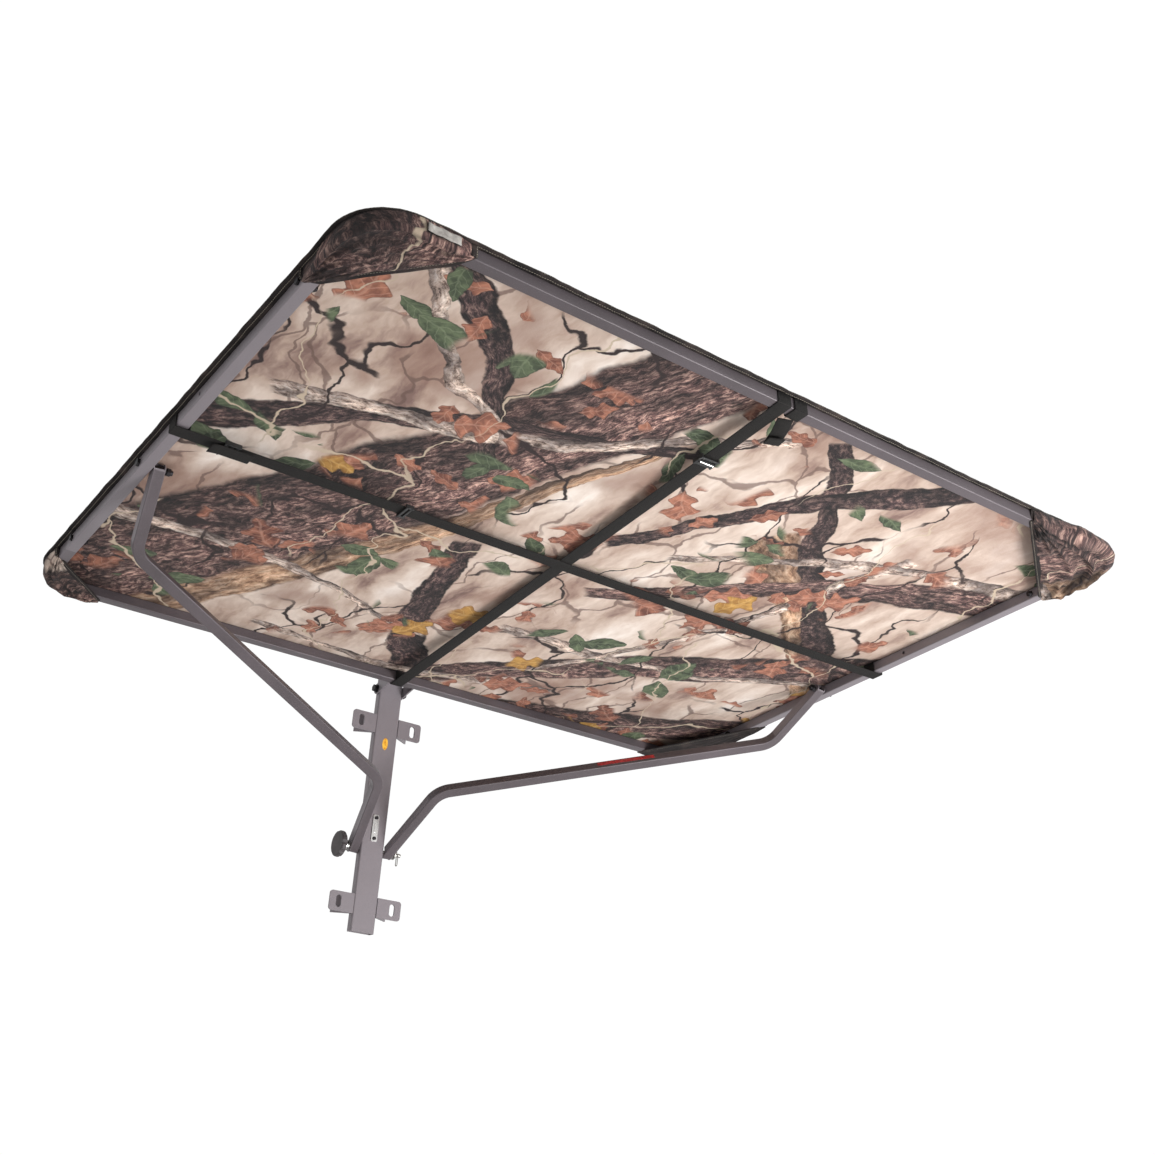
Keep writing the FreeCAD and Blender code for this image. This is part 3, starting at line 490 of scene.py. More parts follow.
def bark(s, across, along, width, tones, grain):
    """Bark colour: grain drawn out along the branch, shaded round towards both edges."""
    drawn_out = 0.45
    place = s.join(s.math("MULTIPLY", along, drawn_out), s.math("MULTIPLY", across, width))
    rough = s.noise(place, grain, 8.0, 0.78)
    colour = s.ramp(rough, [(0.40, tones[0]), (0.50, tones[1]), (0.61, tones[2])])
    plates = s.noise(place, grain * 0.20, 4.0, 0.65)
    relief = s.ramp(plates, [(0.42, (0.42, 0.40, 0.41, 1)), (0.50, (0.86, 0.84, 0.84, 1)),
                             (0.60, (1.30, 1.26, 1.24, 1))])
    colour = s.mix(1.0, colour, relief, "MULTIPLY")
    lit = s.math("MULTIPLY_ADD", across, 0.5, 0.5)
    shade = s.ramp(lit, [(0.0, (0.30, 0.27, 0.27, 1)), (0.35, (0.72, 0.7, 0.7, 1)),
                         (0.75, (1.12, 1.1, 1.08, 1)), (1.0, (0.75, 0.73, 0.72, 1))])
    return s.mix(1.0, colour, shade, "MULTIPLY")


def leaves(s, place, spacing, size, lobes, share, seed, tones):
    """Scattered leaves with veins: their mask and colour.

    size is (half length, half width), lobes is how deep the edge is cut, share is how many of the
    places a spacing apart hold a leaf, and seed moves the whole scatter.
    """
    moved = s.vector("ADD", place, (seed * 1.37, seed * 2.11, 0))
    cells = s.node("TexVoronoi", voronoi_dimensions="2D")
    s.feed(cells.inputs["Vector"], moved)
    cells.inputs["Scale"].default_value = 1 / spacing
    cells.inputs["Randomness"].default_value = 0.75
    local = s.vector("SUBTRACT", moved, cells.outputs["Position"])
    turn, chance, tone = s.split(cells.outputs["Color"])
    rotate = s.node("VectorRotate", rotation_type="Z_AXIS")
    s.feed(rotate.inputs["Vector"], local)
    s.feed(rotate.inputs["Angle"], s.math("MULTIPLY", turn, math.tau))
    x, y, _ = s.split(rotate.outputs[0])
    x = s.math("DIVIDE", x, size[0])
    y = s.math("DIVIDE", s.math("ABSOLUTE", y), size[1])
    blade = s.math("SUBTRACT", 1.0, s.math("MULTIPLY", x, x))
    scallops = s.math("MULTIPLY_ADD", s.math("SINE", s.math("MULTIPLY", x, 8.5)), lobes, 1.0)
    blade = s.math("SUBTRACT", s.math("MULTIPLY", blade, scallops), y)
    inside = s.smooth(blade, 0.0, 0.10)
    present = s.math("LESS_THAN", chance, share)
    rib = s.smooth(y, 0.10, 0.03)
    ribs = s.math("SINE", s.math("MULTIPLY", s.math("SUBTRACT", s.math("MULTIPLY", x, 2.2), y), 9.0))
    veins = s.math("MAXIMUM", rib, s.smooth(ribs, 0.86, 0.98))
    mottled = s.smooth(s.noise(place, 55.0, 4.0), 0.34, 0.66)
    mottled = s.math("MULTIPLY_ADD", tone, 0.35, s.math("MULTIPLY", mottled, 0.65))
    colour = s.mix(mottled, tones[0], tones[1])
    colour = s.mix(s.math("MULTIPLY", veins, 0.28), colour, tones[2])
    colour = s.mix(s.math("MULTIPLY", s.smooth(blade, 0.22, 0.0), 0.6), colour, tones[3])
    return s.math("MULTIPLY", inside, present), colour


def twigs(s, place, spacing, thickness, seed):
    """Thin crossing twigs, broken up so that they come and go."""
    warped = s.vector("ADD", place, s.noise_vector(place, 7.0, 0.16))
    stretched = s.scaled(warped, (1.0, 0.55, 1.0))
    moved = s.vector("ADD", stretched, (seed, seed * 0.7, 0))
    cells = s.node("TexVoronoi", voronoi_dimensions="2D", feature="DISTANCE_TO_EDGE")
    s.feed(cells.inputs["Vector"], moved)
    cells.inputs["Scale"].default_value = 1 / spacing
    line = s.smooth(cells.outputs["Distance"], thickness / spacing, thickness / spacing * 0.4)
    broken = s.smooth(s.noise(moved, 5.0, 2.0), 0.43, 0.50)
    return s.math("MULTIPLY", line, broken)


BARK_BROWN = (rgb(44, 32, 35), rgb(118, 92, 90), rgb(206, 180, 168))
BARK_DARK = (rgb(36, 28, 31), rgb(84, 66, 68), rgb(158, 136, 128))
BARK_PALE = (rgb(112, 92, 84), rgb(212, 196, 184), rgb(248, 240, 232))
BARK_TAN = (rgb(126, 96, 76), rgb(190, 160, 134), rgb(226, 204, 182))

# Printed branches: start and end on the cloth in metres, half widths at both ends, bow, grain, tones.
BRANCHES = [
    ((0.56, 0.02), (0.10, 0.98), (0.060, 0.012), 0.02, 60.0, BARK_TAN),
    ((-0.20, 0.90), (-0.74, 0.42), (0.050, 0.030), -0.02, 60.0, BARK_TAN),
    ((0.74, 0.02), (0.12, 1.24), (0.138, 0.102), 0.03, 120.0, BARK_BROWN),
    ((0.12, -0.04), (-0.76, 0.62), (0.040, 0.065), -0.05, 120.0, BARK_BROWN),
    ((-0.22, 0.00), (-0.80, 0.26), (0.070, 0.060), 0.02, 120.0, BARK_BROWN),
    ((0.80, 0.60), (0.02, 1.02), (0.040, 0.014), -0.05, 130.0, BARK_DARK),
    ((0.20, 0.60), (0.00, 0.05), (0.026, 0.040), 0.03, 130.0, BARK_DARK),
    ((-0.10, 1.16), (-0.62, 0.58), (0.018, 0.030), 0.03, 130.0, BARK_DARK),
    ((0.62, 1.20), (0.30, 0.80), (0.030, 0.016), -0.04, 130.0, BARK_DARK),
    ((-0.78, 0.98), (-0.06, 0.56), (0.052, 0.020), 0.04, 120.0, BARK_BROWN),
    ((0.02, 0.72), (-0.40, 1.20), (0.016, 0.034), -0.03, 130.0, BARK_DARK),
    ((0.76, 0.34), (0.06, 0.24), (0.017, 0.008), -0.05, 120.0, BARK_PALE),
    ((0.66, 0.78), (-0.06, 1.12), (0.020, 0.012), 0.06, 120.0, BARK_PALE),
    ((0.30, 0.86), (0.64, 1.18), (0.010, 0.016), -0.03, 120.0, BARK_PALE),
    ((-0.02, 0.36), (-0.72, 0.50), (0.016, 0.010), 0.05, 120.0, BARK_PALE),
    ((-0.18, 0.22), (-0.46, 0.98), (0.009, 0.014), 0.04, 120.0, BARK_PALE),
    ((-0.10, 0.74), (-0.74, 1.00), (0.010, 0.018), -0.05, 120.0, BARK_PALE),
    ((0.36, 0.10), (-0.28, 0.16), (0.008, 0.014), 0.05, 120.0, BARK_PALE),
]
RUST = (rgb(108, 66, 56), rgb(198, 142, 118), rgb(226, 188, 168), rgb(80, 50, 46))
AMBER = (rgb(158, 116, 62), rgb(214, 172, 100), rgb(234, 206, 148), rgb(108, 76, 48))
GREEN = (rgb(62, 72, 56), rgb(124, 136, 106), rgb(162, 172, 144), rgb(44, 50, 42))


def scatter_leaves(s, cloth, place, colour):
    """Drop dry leaves in clumps and green ones in groves of their own over a print."""
    clumps = s.smooth(s.noise(cloth, 4.2, 1.0), 0.50, 0.54)
    for spacing, size, lobes, share, seed, tones in (
            (0.066, (0.034, 0.015), 0.30, 0.34, 1.0, RUST),
            (0.092, (0.050, 0.029), 0.38, 0.46, 5.0, RUST),
            (0.104, (0.050, 0.030), 0.40, 0.12, 9.0, AMBER)):
        mask, tint = leaves(s, place, spacing, size, lobes, share, seed, tones)
        colour = s.mix(s.math("MULTIPLY", mask, clumps), colour, tint)
    groves = s.smooth(s.noise(s.vector("ADD", cloth, (4.0, 1.0, 0.0)), 4.6, 1.0), 0.55, 0.58)
    for spacing, size, seed in ((0.082, (0.042, 0.017), 2.0), (0.106, (0.054, 0.027), 7.0)):
        mask, tint = leaves(s, place, spacing, size, 0.03, 0.42, seed, GREEN)
        colour = s.mix(s.math("MULTIPLY", mask, groves), colour, tint)
    return colour


def camouflage(name, creases, leafy):
    """Printed woodland cloth: blurred ground, branches, twigs and leaves over a fine weave.

    creases is how strongly the cloth shows small folds, in its bumps and in the painted shade of its hollows;
    leafy says whether it carries leaves.
    """
    s = Shader(name)
    cloth = s.cloth()
    place = s.vector("ADD", cloth, s.noise_vector(cloth, 9.0, 0.05))
    place = s.vector("ADD", place, s.noise_vector(cloth, 70.0, 0.008))

    reeds = s.noise(s.scaled(place, (1.0, 0.35, 1.0)), 11.0, 5.0, 0.6)
    patches = s.noise(place, 3.2, 3.0)
    colour = s.ramp(reeds, [(0.34, rgb(146, 120, 112)), (0.44, rgb(198, 176, 162)),
                            (0.56, rgb(226, 210, 198)), (0.68, rgb(246, 236, 228))])
    shadows = s.math("MULTIPLY", s.smooth(patches, 0.52, 0.64), 0.6)
    colour = s.mix(shadows, colour, rgb(158, 126, 112))
    colour = s.mix(s.math("MULTIPLY", twigs(s, place, 0.12, 0.0035, 3.0), 0.7), colour, rgb(120, 96, 88))

    for start, end, widths, bow, grain, tones in BRANCHES:
        mask, across, along = branch(s, place, start, end, widths, bow)
        colour = s.mix(mask, colour, bark(s, across, along, widths[0], tones, grain))

    colour = s.mix(twigs(s, place, 0.17, 0.0036, 0.0), colour, rgb(58, 42, 42))
    if leafy:
        colour = scatter_leaves(s, cloth, place, colour)
    colour = s.mix(twigs(s, place, 0.26, 0.0020, 8.0), colour, rgb(206, 190, 170))
    ink = s.node("Gamma")
    s.feed(ink.inputs["Color"], colour)
    ink.inputs["Gamma"].default_value = 1.22
    # Painted shade: ambient occlusion darkens the printed colour in folds and hollows, more strongly as creases
    # grows.
    crease_shade = s.node("AmbientOcclusion", samples=8)
    crease_shade.inputs["Distance"].default_value = 30 * MM
    shaded = s.math("POWER", crease_shade.outputs["AO"], 0.04 * creases)
    shaded = s.mix(1.0, ink.outputs[0], s.join(shaded, shaded, shaded), "MULTIPLY")

    threads = weave(s, cloth, 1100)
    folds = s.noise(s.place(), 36.0, 4.0)
    s.bump(s.math("ADD", threads, s.math("MULTIPLY", folds, creases)), 0.00025)
    return s.finish(shaded, s.math("MULTIPLY_ADD", threads, 0.04, 0.78))


POWDER = powder_coat()
POLISHED = metal("polished_steel", rgb(196, 194, 192), rgb(240, 239, 237), 0.5, 0.16)
ZINC = metal("zinc_steel", rgb(120, 118, 116), rgb(176, 174, 170), 0.4, 0.25)
BLACK_STEEL = metal("black_steel", rgb(34, 32, 34), rgb(62, 60, 62), 0.3, 0.38)
KNOB = moulded_plastic("knob_plastic", rgb(52, 47, 49), rgb(74, 68, 70), 700.0, 0.5)
BUCKLE = moulded_plastic("buckle_plastic", rgb(24, 24, 25), rgb(46, 46, 46), 500.0, 0.34)
AMBER_LABEL = vinyl_label("amber_label", rgb(196, 128, 20), rgb(238, 184, 60))
RED_LABEL = vinyl_label("red_label", rgb(128, 24, 30), rgb(186, 40, 44))
WEBBING = webbing()
HEM = hem_cloth()
PATCH = patch_cloth()
CAMO = camouflage("camouflage", 2.0, True)
CREASED_CAMO = camouflage("creased_camouflage", 50.0, False)

SLOT_MATERIALS = {
    "frame_steel": POWDER, "bright_steel": POLISHED, "zinc_steel": ZINC, "dark_steel": BLACK_STEEL,
    "knob_plastic": KNOB, "camo_fabric": CAMO, "hem_fabric": HEM, "webbing": WEBBING,
    "buckle_plastic": BUCKLE, "amber_label": AMBER_LABEL, "red_label": RED_LABEL, "pale_label": PATCH,
}


def paint_nodes():
    """Give every CAD node the material of its slot."""
    for entry in frame["record"]["subparts"]:
        node = frame["nodes"][entry["node"]]
        node.data.materials.clear()
        node.data.materials.append(SLOT_MATERIALS[entry["material_slot"]])


# ---------------------------------------------------------------- cover
def round_corner(x, y, half_x, half_y, radius):
    """Move a point of a rectangle centred on the origin onto the same rectangle with round corners."""
    dx = abs(x) - (half_x - radius)
    dy = abs(y) - (half_y - radius)
    if dx <= 0 or dy <= 0:
        return x, y
    scale = max(dx, dy) / math.hypot(dx, dy)
    return (math.copysign(half_x - radius + dx * scale, x),
            math.copysign(half_y - radius + dy * scale, y))


def cover_height(x, y):
    """Height of the cover over the rails' underside plane: taut edge, sagging middle, fine creases."""
    across = max(0.0, 1 - (x / (HALF_WIDTH - TUBE)) ** 2)
    along = max(0.0, 1 - ((y - MIDDLE_Y) / ((FRONT - REAR) / 2 - TUBE)) ** 2)
    inside = across * along
    height = -SAG * inside ** 1.3
    pull = noise.noise(Vector((x * 5.0, y * 5.0, 0.0))) * 2.2 * MM
    corner = min(math.hypot(abs(x) - HALF_WIDTH, y - end) for end in (REAR, FRONT))
    angle = math.atan2(abs(y - MIDDLE_Y), abs(x))
    crease = math.sin(angle * 60 + x * 3) * math.exp(-corner / 0.16) * 1.6 * MM
    return RAIL_TOP + height + (pull + crease) * min(1.0, inside * 4)


def build_cover():
    """The cover: one stretched sheet over the whole frame, just short of its outline."""
    grow = -3 * MM
    half_x = HALF_WIDTH + grow
    half_y = (FRONT - REAR) / 2 + grow
    columns = 180
    lines = 144
    rows = []
    for j in range(lines + 1):
        y = half_y * (2 * j / lines - 1)
        row = []
        for i in range(columns + 1):
            x = half_x * (2 * i / columns - 1)
            px, py = round_corner(x, y, half_x, half_y, CORNER_RADIUS + grow)
            py += MIDDLE_Y
            row.append(Vector((px, py, cover_height(px, py) + SHEET_THICKNESS)))
        rows.append(row)
    mesh = grid_mesh("canopy_cover", rows)
    cover = add_object("canopy_cover", mesh, "roof", "camo_fabric", CAMO, ["cover_panel"])
    return thicken(cover, SHEET_THICKNESS)


def build_hem():
    """Rolled, stitched edge of the cover, a little uneven as sewn cloth is."""
    inner = -9 * MM
    half_thickness = 1.9 * MM
    drawn_round = 18 * MM
    flatness = 0.22
    profile = rounded_profile(1.0, flatness)
    ring = outline(0.0, 6 * MM)
    rows = []
    uv = []
    travelled = 0.0
    before = None
    for place, out in ring + ring[:1]:
        flutter = noise.noise(place * 70.0 + Vector((3, 1, 0)))
        point = place + Vector((0, 0, RAIL_TOP + 2.4 * MM + flutter * 0.8 * MM))
        if before is not None:
            travelled += (point - before).length
        before = point
        reach = (11 - 4 * abs(out.y)) * MM + noise.noise(place * 22.0) * 1.5 * MM
        span = reach - inner
        centre = (reach + inner) / 2
        row = []
        marks = []
        for number, (across, rise) in enumerate(profile):
            thick = rise / (flatness / 2) * half_thickness
            puff = noise.noise(point * 45.0 + Vector((0, 0, number * 0.3))) * 0.6 * MM
            row.append(point + out * (centre + across * span) + UP * (thick + puff))
            marks.append((drawn_round * number / len(profile), travelled))
        rows.append(row)
        uv.append(marks)
    mesh = grid_mesh("canopy_hem", rows, closed_across=True, uv=uv)
    return add_object("canopy_hem", mesh, "roof", "hem_fabric", HEM, ["cover_hem"])


# ---------------------------------------------------------------- corner pockets
PRINTED = ("camo_fabric", CREASED_CAMO)
# Dark hem cloth for a pocket that lies in shadow under the rails: partly the cloth's own dark colour, partly
# painted shade.
DARK_HEM_AND_SHADE = ("hem_fabric", HEM)
GATHERED = 1.5
PLAIN = 1.0
# Side (+1 is +X), end (+1 is the front), reach along the side and along the end, how far the cloth
# puffs out and how deep its gathers are in millimetres, where on the roll it was cut, its cloth,
# and how many times longer the cloth was cut than the edge it is sewn to.
POCKETS = {
    "front_left_pocket": (1, 1, 0.165, 0.150, 2.0, 9.0, (-0.29, -0.52), PRINTED, GATHERED),
    "front_right_pocket": (-1, 1, 0.170, 0.240, 11.0, 17.0, (1.09, -0.72), PRINTED, GATHERED),
    "rear_left_pocket": (1, -1, 0.120, 0.115, 4.0, 8.0, (0.02, 0.12), PRINTED, GATHERED),
    # Cut from dark hem cloth: partly its own colour, partly painted shade where this pocket lies in shadow.
    "rear_right_pocket": (-1, -1, 0.270, 0.130, 3.0, 4.0, (0.57, 0.0), DARK_HEM_AND_SHADE, PLAIN),
}


def pocket_outline(side, end, along_side, along_end):
    """Part of the outline that one pocket covers, from the side rail round to the end rail."""
    corner_y = FRONT if end > 0 else REAR
    picked = []
    for point, out in outline(2 * MM, 5 * MM):
        near_side = point.x * side > 0 and abs(point.y - corner_y) < along_side
        near_end = abs(point.x - side * HALF_WIDTH) < along_end
        if near_side and near_end:
            picked.append((point, out))
    inset = 0.3
    centre = Vector((side * (HALF_WIDTH - inset), corner_y - end * inset, 0))
    picked.sort(key=lambda item: end * math.atan2(item[0].y - centre.y, side * (item[0].x - centre.x)))
    return picked


def pocket_flat(edge, first, last, fullness):
    """Length and width of the cloth a pocket is cut from: a wall strip with its floor added to it."""
    length = sum((after[0] - before[0]).length for before, after in zip(edge, edge[1:]))
    ring = [first] + [point for point, _ in edge] + [last]
    floor = abs(sum(here.x * after.y - after.x * here.y
                    for here, after in zip(ring, ring[1:] + ring[:1]))) / 2
    return length * fullness, TUBE + 2 * MM + floor / length


def gathers(along, across, seed):
    """Sharp-backed folds of loose cloth, 0 to about 1, drawn out along the pocket's edge."""
    broad = max(0.0, 1 - 2.6 * abs(noise.noise(Vector((along * 3.2, across * 4.2, seed)))))
    fine = max(0.0, 1 - 2.6 * abs(noise.noise(Vector((along * 9.0, across * 8.0, seed + 5)))))
    return 0.85 * broad ** 2 + 0.15 * fine ** 2


def build_pocket(name, side, end, along_side, along_end, puff, depth, cut_from, cloth, fullness):
    """Cloth pocket round a bent corner: a wall outside the tube, turned under it to a slanting edge.

    Returns the pocket, the line of its open edge and the flat size of its cloth.
    """
    edge = pocket_outline(side, end, along_side, along_end)
    tuck = TUBE * 0.2
    first = edge[0][0] - edge[0][1] * tuck
    last = edge[-1][0] - edge[-1][1] * tuck
    wall_steps = 8
    floor_steps = 28
    wall_share = 0.25
    standoff = 0.4
    wall_print = 0.02
    seed = side + 2 * end
    rows = []
    uv = []
    for index, (point, out) in enumerate(edge):
        share = index / (len(edge) - 1)
        chord = first.lerp(last, share)
        middle = math.sin(math.pi * share)
        row = []
        marks = []
        for step in range(wall_steps):
            down = step / wall_steps
            swell = puff * math.sin(math.pi * (0.2 + 0.6 * down)) * middle
            fold = 0.4 * depth * gathers(share, wall_share * down, seed) * min(1.0, 3 * middle)
            height = RAIL_TOP + 1 * MM - (TUBE + 2 * MM) * down
            row.append(point + out * (standoff + swell + fold) * MM + Vector((0, 0, height)))
            marks.append((point.x + out.x * wall_print * down + cut_from[0],
                          point.y + out.y * wall_print * down + cut_from[1]))
        for step in range(floor_steps + 1):
            inward = step / floor_steps
            place = (point + out * standoff * MM).lerp(chord, inward)
            fold = depth * gathers(share, wall_share + inward, seed) * (1 - 0.7 * inward)
            swell = 0.35 * puff * math.sin(math.pi * inward)
            hang = (0.5 + (swell + fold) * min(1.0, 2.5 * middle)) * MM
            row.append(Vector((place.x, place.y, RAIL_BOTTOM - hang)))
            marks.append((place.x + wall_print * out.x + cut_from[0],
                          place.y + wall_print * out.y + cut_from[1]))
        rows.append(row)
        uv.append(marks)
    mesh = grid_mesh("sewn_" + name, rows, uv=uv)
    pocket = add_object("sewn_" + name, mesh, "roof", *cloth, [name])
    thicken(pocket, SHEET_THICKNESS)
    rim = rows[0][:wall_steps] + [row[-1] for row in rows] + rows[-1][:wall_steps][::-1]
    return pocket, rim, pocket_flat(edge, first, last, fullness)


def build_binding(name, path):
    """Dark tape sewn along the open edge of a pocket, through every sixth point of it."""
    stride = 6
    smooth = rounded_path([path[0]] + path[stride:-stride:stride] + [path[-1]], 1 * MM, 6 * MM)
    sides = []
    normals = []
    for index in range(len(smooth)):
        along = direction(smooth, index)
        upright = abs(along.z) > 0.9
        side = along.cross(Vector((0, 1, 0)) if upright else UP).normalized()
        sides.append(side)
        normals.append(side.cross(along).normalized())
    mesh = sweep("binding_" + name, smooth, sides, normals, rounded_profile(10 * MM, 2.4 * MM))
    return add_object("binding_" + name, mesh, "roof", "hem_fabric", HEM)


# ---------------------------------------------------------------- straps
def turn_roof(mesh, x, y, angle):
    """Turn a mesh drawn along Y and set it down at a point of the roof."""
    mesh.transform(Matrix.Translation((x, y, 0)) @ Matrix.Rotation(angle, 4, "Z"))


def ribbon(name, corners, radius=1.6 * MM):
    """Band of webbing along a path drawn in the Y-Z plane."""
    path = rounded_path([Vector((0, y, z)) for y, z in corners], radius, 8 * MM)
    sides = []
    normals = []
    across = Vector((1, 0, 0))
    for index in range(len(path)):
        sides.append(across)
        normals.append(across.cross(direction(path, index)))
    return sweep(name, path, sides, normals, rounded_profile(WEBBING_WIDTH, WEBBING_THICKNESS))


def loop_corners(face, inward, level):
    """Corners of webbing folded round a rail: down its outer face, under it and up its inner face."""
    outer = face - inward * WEBBING_STANDOFF
    inner = face + inward * (TUBE + WEBBING_STANDOFF)
    return [(outer, WEBBING_TOP), (outer, level), (inner, level), (inner, WEBBING_TOP)]


def strap_corners(first, last, level):
    """Corners of a strap that runs under both rails and turns up their outer faces."""
    rear = first - WEBBING_STANDOFF
    front = last + WEBBING_STANDOFF
    return [(rear, WEBBING_TOP), (rear, level), (front, level), (front, WEBBING_TOP)]


def build_long_strap():
    """Front-to-back strap, with its inner turns and the second turn of its free end at the front."""
    low, high = roof_box("long_strap")
    level = low.z + WEBBING_THICKNESS / 2
    rear_x = low.x + WEBBING_WIDTH / 2
    front_x = high.x - WEBBING_WIDTH / 2
    middle_x = (rear_x + front_x) / 2
    half = (FRONT - REAR) / 2
    mesh = ribbon("long_strap_web", strap_corners(-half, half, level))
    turn_roof(mesh, middle_x, MIDDLE_Y, -SKEW)
    strap = add_object("long_strap_web", mesh, "roof", "webbing", WEBBING, ["long_strap"])

    for name, face, inward, x in (("rear", REAR, 1, rear_x), ("front", FRONT, -1, front_x)):
        inner = face + inward * (TUBE + WEBBING_STANDOFF)
        mesh = ribbon("long_strap_turn_" + name,
                      [(inner, WEBBING_TOP), (inner, RAIL_BOTTOM - 1 * MM)], 0.5 * MM)
        turn_roof(mesh, x, 0, 0)
        piece = add_object("long_strap_turn_" + name, mesh, "roof", "webbing", WEBBING)

    wrap_low, wrap_high = roof_box("long_strap_wrap")
    mesh = ribbon("long_strap_wrap_web", loop_corners(FRONT, -1, wrap_low.z + WEBBING_THICKNESS / 2))
    turn_roof(mesh, (wrap_low.x + wrap_high.x) / 2, 0, 0)
    wrap = add_object("long_strap_wrap_web", mesh, "roof", "webbing", WEBBING, ["long_strap_wrap"])


def build_loose_end():
    """Free end of the front-to-back strap, folded back on itself under its turns at the front rail."""
    low, high = roof_box("long_strap_wrap")
    corners = [(0, 0), (-22 * MM, -7 * MM), (-55 * MM, -9 * MM), (-30 * MM, -14 * MM)]
    slant = -0.35
    mesh = ribbon("long_strap_loose_end", corners, 2.0 * MM)
    start = Matrix.Translation(((low.x + high.x) / 2 + 8 * MM, FRONT - TUBE - 4 * MM,
                                RAIL_BOTTOM - 3 * MM))
    mesh.transform(start @ Matrix.Rotation(slant, 4, "Z"))
    piece = add_object("long_strap_loose_end", mesh, "roof", "webbing", WEBBING)


def build_cross_strap():
    """Side-to-side strap, with its inner turns at the side rails."""
    low, high = roof_box("cross_strap")
    level = low.z + WEBBING_THICKNESS / 2
    station = (low.y + high.y) / 2
    mesh = ribbon("cross_strap_web", strap_corners(-HALF_WIDTH, HALF_WIDTH, level))
    turn_roof(mesh, 0, station, -math.pi / 2)
    strap = add_object("cross_strap_web", mesh, "roof", "webbing", WEBBING, ["cross_strap"])
    for name, side in (("left", 1), ("right", -1)):
        inner = side * (HALF_WIDTH - TUBE - WEBBING_STANDOFF)
        mesh = ribbon("cross_strap_turn_" + name,
                      [(inner, WEBBING_TOP), (inner, RAIL_BOTTOM - 2 * MM)], 0.5 * MM)
        turn_roof(mesh, 0, station, -math.pi / 2)
        piece = add_object("cross_strap_turn_" + name, mesh, "roof", "webbing", WEBBING)


def build_tail():
    """Folded free end of the cross strap under its buckle."""
    low, high = roof_box("strap_tail")
    middle = (low.x + high.x) / 2
    half = (high.x - low.x) / 2
    mesh = ribbon("strap_tail_web", [
        (-half * 0.4, high.z - 0.9 * MM), (-half, high.z - 1.4 * MM),
        (-half, low.z + 1.2 * MM), (half * 0.5, low.z + 0.8 * MM), (half, low.z - 1.5 * MM)], 0.6 * MM)
    turn_roof(mesh, middle, (low.y + high.y) / 2, -math.pi / 2)
    tail = add_object("strap_tail_web", mesh, "cross_adjuster", "webbing", WEBBING, ["strap_tail"])


def block(built, low, high):
    """Add a box between two corners to a bmesh."""
    middle = (Vector(low) + Vector(high)) / 2
    size = Vector(high) - Vector(low)
    matrix = Matrix.Translation(middle) @ Matrix.Diagonal((size.x, size.y, size.z, 1))
    bmesh.ops.create_cube(built, size=1.0, matrix=matrix)


def build_buckle(name, node, body, bars, angle):
    """Moulded buckle: two cheeks, bars above and below the webbing, and a ridged thumb lip."""
    low, high = roof_box(node)
    middle = (low + high) / 2
    size = high - low
    lengthwise = abs(angle) < 1
    half = Vector((size.x, size.y, size.z) if lengthwise else (size.y, size.x, size.z)) / 2
    cheek = 3.4 * MM
    bar = half.y / bars
    built = bmesh.new()
    for side in (1, -1):
        block(built, (side * half.x, -half.y, -half.z), (side * (half.x - cheek), half.y, half.z))
    for index in range(bars):
        centre = -half.y + bar + index * 2 * (half.y - bar) / max(bars - 1, 1)
        for share, bottom, top in ((0.5, -half.z, -half.z + 2 * MM), (0.4, half.z - 1.6 * MM, half.z)):
            block(built, (-half.x, centre - bar * share, bottom), (half.x, centre + bar * share, top))
    block(built, (-half.x, half.y - 2 * MM, -half.z - 1.5 * MM), (half.x, half.y, -half.z + 1 * MM))
    for ridge in range(5):
        x = half.x * (ridge - 2) * 0.36
        block(built, (x - 0.7 * MM, half.y - 5 * MM, -half.z - 0.5 * MM),
              (x + 0.7 * MM, half.y - 1 * MM, -half.z + 0.5 * MM))
    mesh = bpy.data.meshes.new(name)
    built.to_mesh(mesh)
    built.free()
    mesh.transform(Matrix.Translation(middle) @ Matrix.Rotation(angle, 4, "Z"))
    round_edges(add_object(name, mesh, body, "buckle_plastic", BUCKLE, [node]), 0.6 * MM)


def round_edges(piece, width):
    """Bevel a piece's sharp edges and keep its flats flat."""
    bevel = piece.modifiers.new("rounding", "BEVEL")
    bevel.width = width
    bevel.segments = 3
    bevel.limit_method = "ANGLE"
    bevel.harden_normals = True


def build_patch():
    """Blank patch, slightly curled, just in front of the front left pocket."""
    low, high = roof_box("blank_tag")
    rows = []
    uv = []
    columns = 16
    lines = 8
    clear_of_pocket = 4.5 * MM
    for j in range(lines + 1):
        row = []
        marks = []
        for i in range(columns + 1):
            x = low.x + (high.x - low.x) * i / columns
            z = low.z + (high.z - low.z) * j / lines
            curl = 0.5 * MM * math.sin(i * 0.9) + 0.3 * MM * math.sin(j * 1.3)
            row.append(Vector((x, high.y + clear_of_pocket + curl, z)))
            marks.append((x, z))
        rows.append(row)
        uv.append(marks)
    mesh = grid_mesh("blank_patch", rows, uv=uv)
    patch = add_object("blank_patch", mesh, "roof", "pale_label", PATCH, ["blank_tag"])
    thicken(patch, 0.6 * MM)


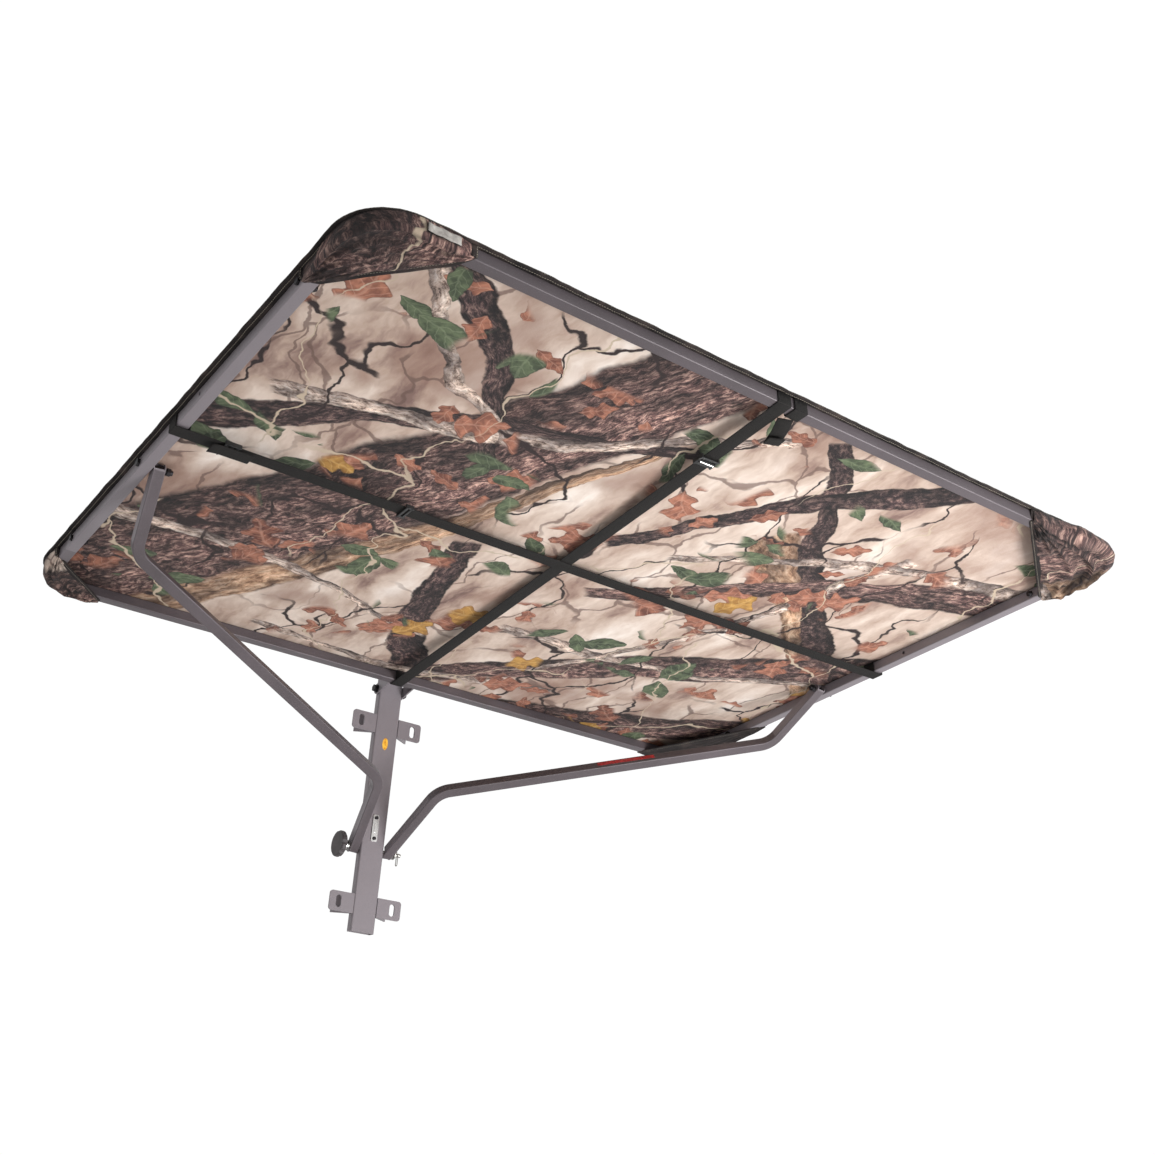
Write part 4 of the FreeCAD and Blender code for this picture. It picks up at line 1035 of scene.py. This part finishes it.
# ---------------------------------------------------------------- stage, light and camera
def build_stage():
    """Pale floor well below the part, soft lights and a white surround."""
    mesh = bpy.data.meshes.new("studio_floor")
    reach = 40.0
    drop = 1.0
    level = CAD_BOX[0].z - drop
    mesh.from_pydata([(-reach, -reach, level), (reach, -reach, level), (reach, reach, level),
                      (-reach, reach, level)], [], [(0, 1, 2, 3)])
    floor = bpy.data.objects.new("studio_floor", mesh)
    bpy.context.scene.collection.objects.link(floor)
    s = Shader("floor_paint")
    colour = s.ramp(s.noise(s.place(), 3.0), [(0.3, rgb(236, 236, 236)), (0.7, rgb(242, 242, 242))])
    mesh.materials.append(s.finish(colour, 0.7))

    world = bpy.data.worlds.new("studio_world")
    bpy.context.scene.world = world
    world.use_nodes = True
    light_surround(world.node_tree)
    add_light("key_light", (-1.1, 2.3, -1.0), target=(0, 0.5, 0.3), size=1.2, power=24, spread=80)
    add_light("top_light", (-2.0, 1.0, 3.5), target=(0, 0.6, 0.2), size=2.5, power=60, spread=180)


def light_surround(tree):
    """White behind the tree side of the part, easing to a softer grey on the other side."""
    tree_side = (-0.53, -0.76, 0.38)
    surround = tree.nodes["Background"]
    direction = tree.nodes.new("ShaderNodeTexCoord").outputs["Generated"]
    toward = tree.nodes.new("ShaderNodeVectorMath")
    toward.operation = "DOT_PRODUCT"
    toward.inputs[1].default_value = tree_side
    tree.links.new(direction, toward.inputs[0])
    ease = tree.nodes.new("ShaderNodeMapRange")
    ease.interpolation_type = "SMOOTHSTEP"
    ease.inputs["From Min"].default_value = 0.1
    ease.inputs["From Max"].default_value = 0.8
    ease.inputs["To Min"].default_value = 0.7
    ease.inputs["To Max"].default_value = 1.02
    tree.links.new(toward.outputs["Value"], ease.inputs["Value"])
    tree.links.new(ease.outputs["Result"], surround.inputs["Strength"])
    surround.inputs["Color"].default_value = (1, 1, 1, 1)


def add_light(name, place, target, size, power, spread):
    """Square soft light at a place, aimed at a target, in a cone spread degrees wide."""
    lamp = bpy.data.lights.new(name, "AREA")
    lamp.size = size
    lamp.energy = power
    lamp.spread = math.radians(spread)
    holder = bpy.data.objects.new(name, lamp)
    holder.location = place
    holder.rotation_mode = "QUATERNION"
    holder.rotation_quaternion = (Vector(target) - Vector(place)).to_track_quat("-Z", "Y")
    bpy.context.scene.collection.objects.link(holder)


# Camera as seen from the roof's own frame: place in metres, then turn, rise and roll in degrees.
CAMERA_PLACE = Vector((1.3240, 2.3955, -1.2087))
CAMERA_TURN = math.radians(143.13)
CAMERA_RISE = math.radians(-28.40)
CAMERA_ROLL = math.radians(-0.43)
CAMERA_LENS = 46.11


def build_camera():
    """Camera below the roof's front edge, looking up and back at the part."""
    back = Vector((math.sin(CAMERA_TURN) * math.cos(CAMERA_RISE),
                   -math.cos(CAMERA_TURN) * math.cos(CAMERA_RISE), math.sin(CAMERA_RISE)))
    right = Vector((math.cos(CAMERA_TURN), math.sin(CAMERA_TURN), 0))
    up = back.cross(right)
    right, up = (math.cos(CAMERA_ROLL) * right + math.sin(CAMERA_ROLL) * up,
                 math.cos(CAMERA_ROLL) * up - math.sin(CAMERA_ROLL) * right)
    axes = Matrix((right, up, back)).transposed().to_4x4()
    lens = bpy.data.cameras.new("studio_camera")
    lens.lens = CAMERA_LENS
    lens.sensor_width = 36.0
    camera = bpy.data.objects.new("studio_camera", lens)
    camera.matrix_world = ROOF @ Matrix.Translation(CAMERA_PLACE) @ axes
    bpy.context.scene.collection.objects.link(camera)
    bpy.context.scene.camera = camera


# ---------------------------------------------------------------- build
paint_nodes()
cover = build_cover()
hem = build_hem()
for pocket_name, settings in POCKETS.items():
    pocket, rim, flat_size = build_pocket(pocket_name, *settings)
    build_binding(pocket_name, rim)
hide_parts("pocket_bindings")
build_long_strap()
build_loose_end()
build_cross_strap()
build_tail()
build_buckle("long_buckle_frame", "long_buckle", "long_adjuster", 3, -SKEW)
build_buckle("cross_buckle_frame", "cross_buckle", "cross_adjuster", 3, -math.pi / 2)
build_buckle("cross_slider_frame", "cross_slider", "cross_keeper", 2, -math.pi / 2)
build_patch()
build_stage()
build_camera()
bpy.context.scene.view_settings.view_transform = "Standard"
